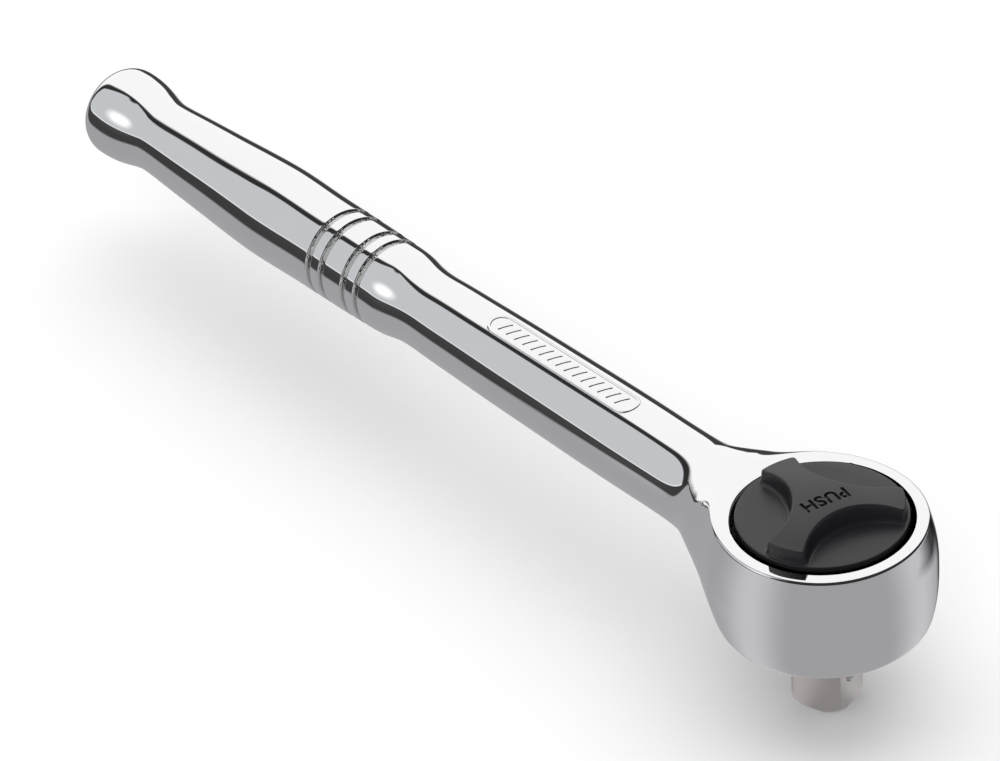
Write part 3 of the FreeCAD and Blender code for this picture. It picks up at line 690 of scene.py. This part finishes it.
    def columns(self, first: np.ndarray, edge: np.ndarray, foot: np.ndarray, last: np.ndarray) -> np.ndarray:
        """Ray angles of every rib, close together at the lip and at the foot.

        Args:
            first: angle of each rib's first ray, at the bore or straight up.
            edge: angle of the lip.
            foot: angle of the foot's rounding.
            last: angle of the last ray.

        Returns:
            (ribs, columns) angles, falling from first to last.
        """
        near = np.radians(4.5)
        wide = 2.2 * near
        stretches = ((first, edge + near, 12), (edge + near, edge - near, 15), (edge - near, foot + wide, 24),
                     (foot + wide, foot - wide, 13), (foot - wide, last, 7))
        parts = []
        for start, stop, count in stretches:
            share = np.linspace(0.0, 1.0, count + 1)[:-1]
            parts.append(start[:, None] + (stop - start)[:, None] * share)
        return np.hstack(parts + [last[:, None]])

    def cast(self, origins: np.ndarray, sides: np.ndarray, angles: np.ndarray) -> np.ndarray:
        """Points where rays from each rib's origin leave the forging, found by halving.

        Args:
            origins: (n, 2) rib origins; the rays start at the handle's height.
            sides: (n, 2) sideways unit vectors.
            angles: (n, m) ray angles above the horizontal.

        Returns:
            (n, m, 3) points.
        """
        start = np.concatenate([origins, np.full((len(origins), 1), self.axis_z)], axis=-1)[:, None, :]
        flat_sides = np.concatenate([sides, np.zeros((len(sides), 1))], axis=-1)[:, None, :]
        level = np.cos(angles)[..., None] * flat_sides
        rays = level + np.sin(angles)[..., None] * np.array([0.0, 0.0, 1.0])
        near = np.zeros(angles.shape)
        far = np.full(angles.shape, 22.0)
        for _ in range(44):
            middle = (near + far) / 2
            inside = self.outside(start + rays * middle[..., None]) < 0
            near = np.where(inside, middle, near)
            far = np.where(inside, far, middle)
        return start + rays * near[..., None]

    def skin(self) -> np.ndarray:
        """The outer surface's left half as a grid of ribs, from the front of the head to the tail."""
        origins, sides = self.rib_places()
        depth = self.axis_z - self.foot_z
        inner = np.sqrt(np.maximum(self.bevel_r ** 2 - origins[:, 0] ** 2, 0.0))
        bare = -origins[:, 0] > self.bevel_r - 1e-9
        inner = np.where(bare, 0.0, inner)
        first = np.arctan2(self.axis_drop, inner)
        last = -np.arctan2(depth, inner)
        edge_side = self.edge_height(origins, sides)
        edge = np.arctan2(self.axis_drop, np.maximum(edge_side, 1e-6))
        edge = np.minimum(edge, np.radians(64.0))
        barrel_side = np.sqrt(np.maximum(11.4 ** 2 - origins[:, 0] ** 2, 4.5 ** 2))
        foot = -np.arctan2(depth - 0.4, barrel_side)
        angles = self.columns(first, edge, foot, last)
        head = self.cast(origins, sides, angles)
        head[:, 0, 0:2] = origins + sides * inner[:, None]
        head[:, 0, 2] = np.where(bare, head[:, 0, 2], self.ring_z)
        head[:, -1, 0:2] = origins + sides * inner[:, None]
        head[:, -1, 2] = np.where(bare, head[:, -1, 2], self.foot_z)
        stations = self.bar_stations()
        angles = angles[-1]
        y = stations[:, 1][:, None] * np.cos(angles)
        y[:, (0, -1)] = 0.0
        x = np.broadcast_to(-stations[:, 0][:, None], y.shape)
        z = self.axis_z + stations[:, 1][:, None] * np.sin(angles)
        bar = np.stack([x, y, z], axis=-1)
        bar[-1] = (self.tail_x, 0.0, self.axis_z)
        return np.concatenate([head, bar])

    def lining(self) -> np.ndarray:
        """The bore, the circlip groove, the cavity and the bearing hole, as half a turn of rings."""
        origins, sides = self.rib_places()
        inner = np.sqrt(np.maximum(self.bevel_r ** 2 - origins[:, 0] ** 2, 0.0))
        around = (origins + sides * inner[:, None])[-origins[:, 0] <= self.bevel_r + 1e-9]
        directions = around / self.bevel_r
        rings = [(self.bevel_r, 0.0), *self.cavity, (self.bevel_r, self.foot_z - self.ring_z)]
        return ring_rows([r for r, _ in rings], [self.ring_z + z for _, z in rings], directions)

    def build(self) -> bpy.types.Object:
        """The forging as one closed mesh, its right half mirrored from the left."""
        sheets = []
        for grid in (self.skin(), self.lining()):
            quads = grid_quads(*grid.shape[:2])
            points = flattened(grid)
            sheets += [(points, quads), (points * (1, -1, 1), quads[:, ::-1])]
        piece = mesh_object("handle_forging", sheets)
        points = vertices_mm(piece.data)
        mask = self.groove_share(-points[:, 0]) * (points[:, 0] < -self.cast_until)
        paint(piece.data, "groove", mask)
        piece.data.normals_split_custom_set_from_vertices(self.shading_normals(points).tolist())
        return piece

    def shading_normals(self, points: np.ndarray, step: float = 0.01) -> np.ndarray:
        """Exact normals of the cast skin, so that mirrors run smoothly over its blended neck.

        The gradient of the outside distance, (f(p + h) - f(p - h)) / 2h on each axis, made unit length.
        Points on the bore, its edges and the turned bar get zero, which leaves them as they are.

        Args:
            points: (n, 3) vertices in millimetres.
            step: h in millimetres.

        Returns:
            (n, 3) normals.
        """
        offsets = np.eye(3) * step
        slope = np.stack([self.outside(points + offset) - self.outside(points - offset)
                          for offset in offsets], axis=-1)
        length = np.linalg.norm(slope, axis=-1, keepdims=True)
        away = np.hypot(points[:, 0], points[:, 1])
        on_skin = (away > self.bevel_r + 0.05) & (points[:, 0] > -self.cast_until + 0.05)
        on_skin &= np.abs(self.outside(points)) < step
        return np.where(on_skin[:, None], slope / np.maximum(length, 1e-9), 0.0)

    def tooth_ring(self, count: int = 36, tip_r: float = 9.15, root_r: float = 9.77,
                   start: float = 18.3) -> bpy.types.Object:
        """Ring of internal teeth: its inner radius is a clipped triangle wave of the angle."""
        angle = np.arange(count * 12) / 12.0
        wave = np.abs((angle - 0.5) % 1.0 - 0.5) * 2
        radius = root_r - (root_r - tip_r) * np.clip((wave - 0.12) / 0.76, 0.0, 1.0)
        direction = unit_circle(len(angle), start)
        bottom, top, outer = self.ring_z - 11.05, self.ring_z - 5.45, 9.97
        teeth = [ring_rows([1.0], [z], direction * radius[:, None])[0] for z in (bottom, top)]
        back = [ring_rows([outer], [z], direction)[0] for z in (top, bottom)]
        grid = np.stack([*teeth, *back, teeth[0]])
        return mesh_object("head_tooth_ring", [(flattened(grid), grid_quads(*grid.shape[:2], wrap=True))])


def rounded_cut(first: np.ndarray, second: np.ndarray, radius: np.ndarray | float) -> np.ndarray:
    """Distance outside both of two shapes' overlap, its edge rounded.

    min(max(a, b), -r) + hypot(max(a + r, 0), max(b + r, 0)).
    """
    corner = np.hypot(np.maximum(first + radius, 0.0), np.maximum(second + radius, 0.0))
    return np.minimum(np.maximum(first, second), -radius) + corner


@dataclass
class ShankPanel:
    """Plain raised panel on top of the shank: a border with rounded ends and slanted bars."""

    forging: Forging
    middle: float = 44.0
    half_length: float = 12.6
    half_width: float = 1.6
    band: float = 0.42
    height: float = 0.10
    sink: float = 0.12
    bars: int = 15
    bar_half: float = 0.85
    slant: float = 0.45
    lean: float = 4.0

    def on_shank(self, along: np.ndarray, across: np.ndarray, lift: np.ndarray) -> np.ndarray:
        """Point at a distance along the handle and an arc across its top, lifted off the surface.

        With r the bar's radius and a the arc over r, it is (-s, -(r + h) sin a, z0 + (r + h) cos a).
        """
        radius = self.forging.bar_radius(along)
        angle = across / radius + math.radians(self.lean)
        out = radius + lift
        return np.stack([-along, -out * np.sin(angle), self.forging.axis_z + out * np.cos(angle)], axis=-1)

    def ribbon(self, path: np.ndarray, band: float, closed: bool) -> tuple[np.ndarray, np.ndarray]:
        """A low rounded bead along a flat path, ends tapered if it is open.

        Args:
            path: (n, 2) points (along, across).
            band: width of the bead.
            closed: True if the last point joins the first.

        Returns:
            Points and quads of the bead with its underside.
        """
        step = np.roll(path, -1, axis=0) - np.roll(path, 1, axis=0) if closed else np.gradient(path, axis=0)
        normal = np.stack([-step[:, 1], step[:, 0]], axis=-1) / np.hypot(*step.T)[:, None]
        turn = np.linspace(0.0, np.pi, 7)
        offset = np.concatenate([np.cos(turn) * band / 2, [-band / 2, band / 2]])
        lift = np.concatenate([np.sin(turn) * self.height, [-self.sink, -self.sink]])
        size = np.ones(len(path))
        if not closed:
            size[[0, -1]] = 0.0
        place = path[:, None, :] + normal[:, None, :] * (offset[None, :, None] * size[:, None, None])
        grid = self.on_shank(place[..., 0], place[..., 1], lift[None, :] * size[:, None])
        count = grid.shape[0]
        if closed:
            grid = np.concatenate([grid, grid[:1]])
            count += 1
        return flattened(grid), grid_quads(count, grid.shape[1], wrap=True)

    def border_path(self) -> np.ndarray:
        """Outline of two straight sides and two half circles, evenly spaced."""
        straight = self.half_length - self.half_width
        run = np.linspace(-straight, straight, 90, endpoint=False)
        turn = np.linspace(np.pi / 2, -np.pi / 2, 24, endpoint=False)
        width = self.half_width
        near = np.stack([run, np.full_like(run, width)], axis=-1)
        cap = np.stack([straight + width * np.cos(turn), width * np.sin(turn)], axis=-1)
        half = np.vstack([near, cap])
        return np.vstack([half, -half]) + (self.middle, 0.0)

    def build(self) -> bpy.types.Object:
        """Border and bars as one mesh."""
        sheets = [self.ribbon(self.border_path(), self.band, True)]
        across = np.concatenate([[-self.bar_half - 0.02], np.linspace(-self.bar_half, self.bar_half, 9),
                                 [self.bar_half + 0.02]])
        for along in np.linspace(-1.0, 1.0, self.bars) * (self.half_length - 2.2 * self.half_width / 2 - 0.4):
            path = np.stack([self.middle + along + self.slant * across, across], axis=-1)
            sheets.append(self.ribbon(path, 0.8 * self.band, False))
        return mesh_object("shank_panel", sheets)


# --- Dial -----------------------------------------------------------------------------------------
@dataclass
class Dial:
    """Round push dial with three raised lobes between scooped pockets and a sunk word."""

    ring_z: float
    rest: float = 51.0
    disc_r: float = 9.75
    face_rise: float = 0.5
    lobe_r: float = 9.3
    edge_rise: float = 2.0
    crown_rise: float = 3.098
    pocket_r: float = 8.2
    pocket_at: float = 11.5
    corner: float = 0.45
    top_round: float = 0.28
    draft: float = 0.16
    fillet: float = 0.42
    rim_round: float = 0.15
    thickness: float = 1.8
    below: tuple[tuple[float, float], ...] = ((4.6, -1.3), (4.6, -2.6), (3.75, -2.6), (3.75, 0.2),
                                              (2.1, 0.2), (2.1, 1.8))
    letter_height: float = 1.9
    word_length: float = 5.7
    word_centre: tuple[float, float] = (0.8, -0.2)
    word_up: float = -10.0
    word_depth: float = 0.36

    def sector_outline(self) -> np.ndarray:
        """Outline from the middle of a pocket (angle 0) to the middle of a lobe (60 degrees).

        The pocket's arc as far as the point where it runs straight out, a radial side, the corner's
        arc and the lobe's end arc, in that order.
        """
        lean = math.asin(self.pocket_r / self.pocket_at)
        turn = np.linspace(0.0, math.pi / 2 - lean, 34, endpoint=False)
        scoop = np.stack([self.pocket_at - self.pocket_r * np.cos(turn),
                          self.pocket_r * np.sin(turn)], axis=-1)
        out = np.array([math.cos(lean), math.sin(lean)])
        pocketward = np.array([math.sin(lean), -math.cos(lean)])
        start = math.sqrt(self.pocket_at ** 2 - self.pocket_r ** 2)
        stop = math.sqrt((self.lobe_r - self.corner) ** 2 - self.corner ** 2)
        side = np.linspace(start, stop, 6, endpoint=False)[:, None] * out
        centre = stop * out - self.corner * pocketward
        aim = math.atan2(centre[1], centre[0])
        turn = np.linspace(lean - math.pi / 2, aim, 9, endpoint=False)
        bend = centre + self.corner * np.stack([np.cos(turn), np.sin(turn)], axis=-1)
        turn = np.linspace(aim, math.pi / 3, 9)
        tip = self.lobe_r * np.stack([np.cos(turn), np.sin(turn)], axis=-1)
        return np.vstack([scoop, side, bend, tip])

    def outline(self) -> tuple[np.ndarray, np.ndarray, np.ndarray]:
        """The whole outline, its outward normals and the disc's matching directions.

        Returns:
            (n, 2) points, (n, 2) unit normals and (n, 2) unit vectors that share out a full turn by
            the outline's length.
        """
        half = self.sector_outline()
        length = np.concatenate([[0.0], np.cumsum(np.hypot(*np.diff(half, axis=0).T))])
        angle = length / length[-1] * math.pi / 3
        back = half[1:-1][::-1] * (1, -1)
        sector = np.vstack([back, half])
        turns = np.concatenate([-angle[1:-1][::-1], angle])
        points, shares = [], []
        for index in range(3):
            spin = math.radians(self.rest + 60.0 + 120.0 * index)
            cos, sin = math.cos(spin), math.sin(spin)
            points.append(sector @ np.array([[cos, sin], [-sin, cos]]))
            shares.append(turns + spin)
        outline = np.vstack(points)
        share = np.concatenate(shares)
        step = np.roll(outline, -1, axis=0) - np.roll(outline, 1, axis=0)
        normal = np.stack([step[:, 1], -step[:, 0]], axis=-1) / np.hypot(*step.T)[:, None]
        return outline, normal, np.stack([np.cos(share), np.sin(share)], axis=-1)

    def dome(self, distance: np.ndarray) -> np.ndarray:
        """Height of the lobes' rounded top: a sphere through the crown and the lobes' ends."""
        drop = self.crown_rise - self.edge_rise
        radius = (self.lobe_r ** 2 + drop ** 2) / (2 * drop)
        return self.ring_z + self.crown_rise - radius + np.sqrt(radius ** 2 - distance ** 2)

    def rows(self) -> np.ndarray:
        """Every ring of the dial, from the crown over the lobes, the floors and the rim, and underneath."""
        outline, normal, share = self.outline()
        room = np.minimum(1.0, 0.9 * (self.disc_r - self.rim_round - np.hypot(*outline.T)) /
                          (self.draft + self.fillet))[:, None]
        floor = self.ring_z + self.face_rise
        inner = outline - normal * self.top_round
        rings = []
        for part in np.linspace(0.0, 1.0, 15):
            flat = inner * part
            rings.append(np.column_stack([flat, self.dome(np.hypot(*flat.T))]))
        top = self.dome(np.hypot(*inner.T))
        sine, rise = quarter_round(6)
        for out, down in zip(sine[1:], rise[1:]):
            flat = inner + normal * self.top_round * out
            rings.append(np.column_stack([flat, top - self.top_round * down]))
        for part in np.linspace(0.0, 1.0, 5)[1:]:
            flat = outline + normal * self.draft * part * room
            high = top - self.top_round
            low = floor + self.fillet * room[:, 0]
            rings.append(np.column_stack([flat, high + (low - high) * part]))
        for out, down in zip(rise[1:], sine[1:]):
            flat = outline + normal * room * (self.draft + self.fillet * out)
            rings.append(np.column_stack([flat, floor + self.fillet * room[:, 0] * (1 - down)]))
        foot = rings[-1][:, :2]
        rim = share * (self.disc_r - self.rim_round)
        for part in np.linspace(0.0, 1.0, 5)[1:]:
            rings.append(np.column_stack([foot + (rim - foot) * part, np.full(len(foot), floor)]))
        for out, down in zip(sine[1:], rise[1:]):
            flat = share * (self.disc_r - self.rim_round * (1 - out))
            rings.append(np.column_stack([flat, np.full(len(foot), floor - self.rim_round * down)]))
        lower = [(self.disc_r, floor - self.thickness), *((r, self.ring_z + z) for r, z in self.below)]
        for radius, height in lower + [(0.0, lower[-1][1])]:
            rings.append(np.column_stack([share * radius, np.full(len(foot), height)]))
        return np.stack(rings)

    def word(self) -> bpy.types.Object:
        """The letters as a solid to sink into the crown, one unit to the millimetre."""
        text = bpy.data.curves.new("dial_word", "FONT")
        text.body = "PUSH"
        text.offset = 0.034
        text.extrude = 0.5
        text.space_character = 1.12
        source = bpy.data.objects.new("dial_word", text)
        bpy.context.scene.collection.objects.link(source)
        bpy.context.view_layer.update()
        graph = bpy.context.evaluated_depsgraph_get()
        mesh = bpy.data.meshes.new_from_object(source.evaluated_get(graph))
        bpy.data.objects.remove(source)
        flat = np.empty(len(mesh.vertices) * 3)
        mesh.vertices.foreach_get("co", flat)
        points = flat.reshape(-1, 3)
        low, high = points.min(axis=0), points.max(axis=0)
        bottom = self.ring_z + self.crown_rise - self.word_depth
        size = np.array([self.word_length, self.letter_height, 1.0])
        local = (points - (low + high) / 2) / (high - low) * size
        up = math.radians(self.word_up)
        across = np.array([math.sin(up), -math.cos(up)])
        upward = np.array([math.cos(up), math.sin(up)])
        flat = local[:, :1] * across + local[:, 1:2] * upward + np.array(self.word_centre)
        placed = np.column_stack([flat, bottom + 0.5 + local[:, 2]])
        mesh.vertices.foreach_set("co", placed.ravel())
        close_seams(mesh, MERGE)
        cutter = bpy.data.objects.new("dial_word_solid", mesh)
        bpy.context.scene.collection.objects.link(cutter)
        return cutter

    def build(self) -> bpy.types.Object:
        """The dial with the word sunk into its crown, cut at one unit to the millimetre."""
        grid = self.rows()
        sheet = (flattened(grid), grid_quads(*grid.shape[:2], wrap=True))
        blank = mesh_object("dial_blank", [sheet], unit=1.0)
        cutter = self.word()
        cut = blank.modifiers.new("word", "BOOLEAN")
        cut.operation, cut.solver, cut.object = "DIFFERENCE", "MANIFOLD", cutter
        bpy.context.view_layer.update()
        graph = bpy.context.evaluated_depsgraph_get()
        mesh = bpy.data.meshes.new_from_object(blank.evaluated_get(graph))
        for used in (blank, cutter):
            bpy.data.objects.remove(used)
        mesh.transform(Matrix.Scale(MM, 4))
        return placed_object("push_dial", mesh)


# --- Square drive ---------------------------------------------------------------------------------
@dataclass
class DriveSquare:
    """The spindle with its square's edges softened as plating and polishing leave them."""

    square_top: float = 7.95
    edge_break: float = 0.14
    tip_break: float = 0.30
    tip_top: float = 0.9
    least_angle: float = 20.0

    def build(self) -> bpy.types.Object:
        """A copy of the CAD spindle, merged, with the edges below the collar rounded."""
        mesh = frame["nodes"]["spindle"].data.copy()
        mesh.name = "drive_spindle"
        shell = bmesh.new()
        shell.from_mesh(mesh)
        bmesh.ops.remove_doubles(shell, verts=shell.verts, dist=0.002 * MM)
        bmesh.ops.dissolve_limit(shell, angle_limit=math.radians(0.5), verts=shell.verts, edges=shell.edges)
        least = math.radians(self.least_angle)
        for low, high, size in ((self.tip_top, self.square_top - 0.3, self.edge_break),
                                (-1.0, self.tip_top, self.tip_break)):
            chosen = [edge for edge in shell.edges
                      if len(edge.link_faces) == 2 and edge.calc_face_angle(0.0) > least and
                      max(v.co.to_2d().length for v in edge.verts) > 3.0 * MM and
                      low * MM < (edge.verts[0].co.z + edge.verts[1].co.z) / 2 < high * MM and
                      max(v.co.z for v in edge.verts) < self.square_top * MM and
                      not self.near_ball(edge)]
            bmesh.ops.bevel(shell, geom=chosen, offset=size * MM, segments=3, profile=0.5,
                            affect="EDGES", clamp_overlap=True)
        shell.to_mesh(mesh)
        shell.free()
        return placed_object("drive_spindle", mesh)

    @staticmethod
    def near_ball(edge: bmesh.types.BMEdge) -> bool:
        """True for an edge of the ball's hole."""
        low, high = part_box("detent_ball")
        centre = (Vector(low) + Vector(high)) / 2
        middle = (edge.verts[0].co + edge.verts[1].co) / 2
        return (middle - centre).length < 2.2 * MM


# --- Studio ---------------------------------------------------------------------------------------
@dataclass
class Studio:
    """Pale floor, soft cards for the chrome to mirror, a soft top light and the camera."""

    aim: tuple[float, float, float] = (-52.75, -3.0, 18.0)
    azimuth: float = 52.505
    elevation: float = 35.626
    roll: float = -4.043
    distance: float = 644.8
    lens: float = 198.0
    floor_half: float = 6.0
    floor_white: float = 0.86
    # The floor as mirrors see it: painted shade zones in metres, then the painted reflection's glow levels.
    shade_left: tuple[float, float] = (-0.080, -0.098)
    shade_near: tuple[float, float] = (-0.040, -0.050)
    shade_head: tuple[float, float] = (0.040, 0.010)
    shade_far: tuple[float, float] = (0.038, 0.048)
    shade_left_over: float = 0.13
    painted_reflection_level: float = 0.44
    painted_reflection_lobes: tuple[tuple[float, float, float], ...] = ((-110.0, 42.0, 0.24), (52.0, 42.0, 0.24),
                                                            (100.0, 17.0, -0.40))

    def material(self, name: str, colour: tuple[float, float, float], strength: float) -> bpy.types.Material:
        """Glowing surface for a card, clear where the glow attribute is 0."""
        made = bpy.data.materials.new(name)
        made.use_nodes = True
        made.node_tree.nodes.clear()
        wires = Wires(made.node_tree)
        glow = wires.add("ShaderNodeEmission")
        glow.inputs["Color"].default_value = (*colour, 1.0)
        glow.inputs["Strength"].default_value = strength
        clear = wires.add("ShaderNodeBsdfTransparent")
        mix = wires.add("ShaderNodeMixShader")
        wires.join(wires.add("ShaderNodeAttribute", attribute_name="glow").outputs["Fac"], mix.inputs[0])
        wires.join(clear.outputs[0], mix.inputs[1])
        wires.join(glow.outputs[0], mix.inputs[2])
        wires.join(mix.outputs[0], wires.add("ShaderNodeOutputMaterial").inputs["Surface"])
        return made

    def card(self, name: str, azimuths: tuple[float, float], elevations: tuple[float, float],
             colour: tuple[float, float, float], strength: float, soft: float = 2.5,
             distance: float = 1.6, spot: bool = False) -> None:
        """A piece of a sphere round the tool that glows towards it, unseen by the camera.

        Points are d (cos e cos a, cos e sin a, sin e) from the aim point.

        Args:
            name: name of the card.
            azimuths: first and last direction, anticlockwise from +X.
            elevations: lowest and highest direction.
            colour: colour of its light.
            strength: brightness.
            soft: degrees over which its edges fade out.
            distance: metres from the aim point.
            spot: True for a round light that fades from its middle outwards.
        """
        rows, columns = 49, 97
        around = np.broadcast_to(np.linspace(*azimuths, columns), (rows, columns))
        height = np.broadcast_to(np.linspace(*elevations, rows)[:, None], (rows, columns))
        if spot:
            middle = (np.mean(azimuths), np.mean(elevations))
            away = np.hypot((around - middle[0]) / (azimuths[1] - azimuths[0]),
                            (height - middle[1]) / (elevations[1] - elevations[0])) * 2
            glow = 1 - smooth_step(away, 0.15, 1.0)
        else:
            side = np.minimum(around - azimuths[0], azimuths[1] - around)
            end = np.minimum(height - elevations[0], elevations[1] - height)
            glow = smooth_step(side, 0.0, soft) * smooth_step(end, 0.0, min(soft, 1.5))
        turn, lift = np.radians(around), np.radians(height)
        grid = np.stack([np.cos(lift) * np.cos(turn), np.cos(lift) * np.sin(turn), np.sin(lift)], axis=-1)
        grid = grid * distance + np.array(self.aim) * MM
        mesh = bpy.data.meshes.new(name)
        mesh.from_pydata(flattened(grid).tolist(), [], grid_quads(rows, columns).tolist())
        paint(mesh, "glow", glow.ravel())
        item = bpy.data.objects.new(name, mesh)
        mesh.materials.append(self.material(name, colour, strength))
        bpy.context.scene.collection.objects.link(item)
        item.visible_camera = False
        item.visible_shadow = False
        item.visible_diffuse = False

    def floor(self) -> None:
        """Plain pale floor under the square's tip.

        To mirrors it shows a painted reflection: it glows by the angle round the drive axis, with painted
        shade in two zones.
        """
        half = self.floor_half
        mesh = bpy.data.meshes.new("floor")
        corners = [(-half, -half, 0), (half, -half, 0), (half, half, 0), (-half, half, 0)]
        mesh.from_pydata(corners, [], [(0, 1, 2, 3)])
        item = bpy.data.objects.new("floor", mesh)
        material = bpy.data.materials.new("floor")
        material.use_nodes = True
        wires = Wires(material.node_tree)
        material.node_tree.nodes.clear()
        seen = wires.add("ShaderNodeBsdfDiffuse")
        seen.inputs["Color"].default_value = (*[self.floor_white] * 3, 1.0)
        # Painted reflection: to glossy rays the floor is an emission, not a lit surface.
        mirrored = wires.add("ShaderNodeEmission")
        mirrored.inputs["Color"].default_value = (0.96, 0.95, 0.98, 1.0)
        place = wires.add("ShaderNodeSeparateXYZ")
        wires.join(wires.add("ShaderNodeTexCoord").outputs["Object"], place.inputs[0])
        # Painted shade: two zones of the mirrored floor turn dark, one towards -X and -Y and one towards +X
        # and +Y.
        left = wires.stretch(place.outputs["X"], self.shade_left, (0.0, 1.0))
        near = wires.stretch(place.outputs["Y"], self.shade_near, (0.0, 1.0))
        head = wires.stretch(place.outputs["X"], self.shade_head, (0.0, 1.0))
        far = wires.stretch(place.outputs["Y"], self.shade_far, (0.0, 1.0))
        dark = wires.maths("MAXIMUM", wires.maths("MULTIPLY", left, near), wires.maths("MULTIPLY", head, far))
        turn = wires.maths("ARCTAN2", place.outputs["Y"], place.outputs["X"])
        level = self.painted_reflection_level
        # Painted reflection lobes, brighter or darker by the angle round the drive axis.
        for angle, width, gain in self.painted_reflection_lobes:
            away = wires.maths("ABSOLUTE", wires.maths("SUBTRACT", turn, math.radians(angle)), 0.0)
            lobe = wires.stretch(away, (0.0, math.radians(width)), (gain, 0.0))
            lobe.node.interpolation_type = "SMOOTHSTEP"
            level = wires.maths("ADD", lobe, level)
        # In the painted shade zones only shade_left_over of the painted reflection is kept.
        kept = wires.stretch(dark, (0.0, 1.0), (1.0, self.shade_left_over))
        wires.join(wires.maths("MULTIPLY", level, kept), mirrored.inputs["Strength"])
        mix = wires.add("ShaderNodeMixShader")
        # Camera and diffuse rays see the plain pale floor; glossy rays see the painted reflection.
        wires.join(wires.add("ShaderNodeLightPath").outputs["Is Glossy Ray"], mix.inputs[0])
        wires.join(seen.outputs[0], mix.inputs[1])
        wires.join(mirrored.outputs[0], mix.inputs[2])
        out = wires.add("ShaderNodeOutputMaterial")
        wires.join(mix.outputs[0], out.inputs["Surface"])
        mesh.materials.append(material)
        bpy.context.scene.collection.objects.link(item)

    def light(self, name: str, place: tuple[float, float, float], size: float, power: float) -> None:
        """A soft square light that mirrors don't see, aimed at the tool."""
        lamp = bpy.data.lights.new(name, "AREA")
        lamp.size, lamp.energy = size, power
        item = bpy.data.objects.new(name, lamp)
        item.location = place
        item.rotation_euler = (Vector(self.aim) * MM - Vector(place)).to_track_quat("-Z", "Y").to_euler()
        item.visible_glossy = False
        bpy.context.scene.collection.objects.link(item)

    def world(self) -> None:
        """Pale to the camera, dark to mirrors, and a dim even fill for everything else."""
        world = bpy.data.worlds.new("studio")
        world.use_nodes = True
        wires = Wires(world.node_tree)
        shade = world.node_tree.nodes["Background"]
        path = wires.add("ShaderNodeLightPath")
        fill = wires.stretch(path.outputs["Is Glossy Ray"], (0.0, 1.0), (0.80, 0.035))
        wires.join(wires.maths("MAXIMUM", fill, path.outputs["Is Camera Ray"]), shade.inputs["Strength"])
        bpy.context.scene.world = world
        shade.inputs["Color"].default_value = (0.96, 0.96, 0.97, 1.0)

    def camera(self) -> None:
        """Camera at a distance from the aim point, turned a little about its line of sight."""
        data = bpy.data.cameras.new("camera")
        data.lens, data.sensor_width = self.lens, 36.0
        data.clip_start, data.clip_end = 0.01, 50.0
        item = bpy.data.objects.new("camera", data)
        turn, lift = math.radians(self.azimuth), math.radians(self.elevation)
        back = Vector((math.sin(turn) * math.cos(lift), -math.cos(turn) * math.cos(lift), math.sin(lift)))
        level = Matrix.Rotation(turn, 4, "Z") @ Matrix.Rotation(math.pi / 2 - lift, 4, "X")
        place = Matrix.Translation((Vector(self.aim) + back * self.distance) * MM)
        item.matrix_world = place @ level @ Matrix.Rotation(math.radians(self.roll), 4, "Z")
        bpy.context.scene.collection.objects.link(item)
        bpy.context.scene.camera = item

    def build(self) -> None:
        """The whole set."""
        self.floor()
        self.world()
        self.card("back_card", (95.0, 187.0), (0.0, 88.0), (1.0, 1.0, 1.0), 1.15, soft=6.0)
        self.card("left_card", (-164.0, -92.0), (1.5, 66.0), (0.95, 0.98, 1.0), 0.70, soft=2.0)
        self.card("line_card", (-164.0, -92.0), (1.5, 5.0), (1.0, 1.0, 1.0), 0.95, distance=1.55)
        self.card("spot_card", (-130.0, -92.0), (7.0, 43.0), (1.0, 1.0, 1.0), 1.5, distance=1.5, spot=True)
        self.light("top_light", (-0.35, 0.25, 1.1), 1.6, 8.0)
        self.light("front_light", (0.75, -0.75, 0.9), 0.7, 4.0)
        self.camera()
        bpy.context.scene.view_settings.view_transform = "Standard"


def main() -> None:
    """Builds the finishes, the head and handle, the dial, the drive and the studio, in that order."""
    logging.basicConfig(level=logging.INFO, format="%(message)s")
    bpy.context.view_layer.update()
    palette = Palette()
    palette.dress_frame()
    low, high = corners_mm("handle_body")
    forging = Forging(ring_z=high[2], foot_z=low[2], tail_x=low[0])
    palette.finish(forging.build(), Slot.CHROME, "handle", ["handle_body"])
    palette.finish(forging.tooth_ring(), Slot.HARD, "handle")
    palette.finish(ShankPanel(forging).build(), Slot.CHROME, "handle")
    palette.finish(Dial(ring_z=high[2]).build(), Slot.DIAL, "dial", ["reversing_dial"])
    palette.finish(DriveSquare().build(), Slot.DRIVE, "drive", ["spindle"])
    Studio().build()
    bpy.context.view_layer.update()


if __name__ == "__main__":
    main()
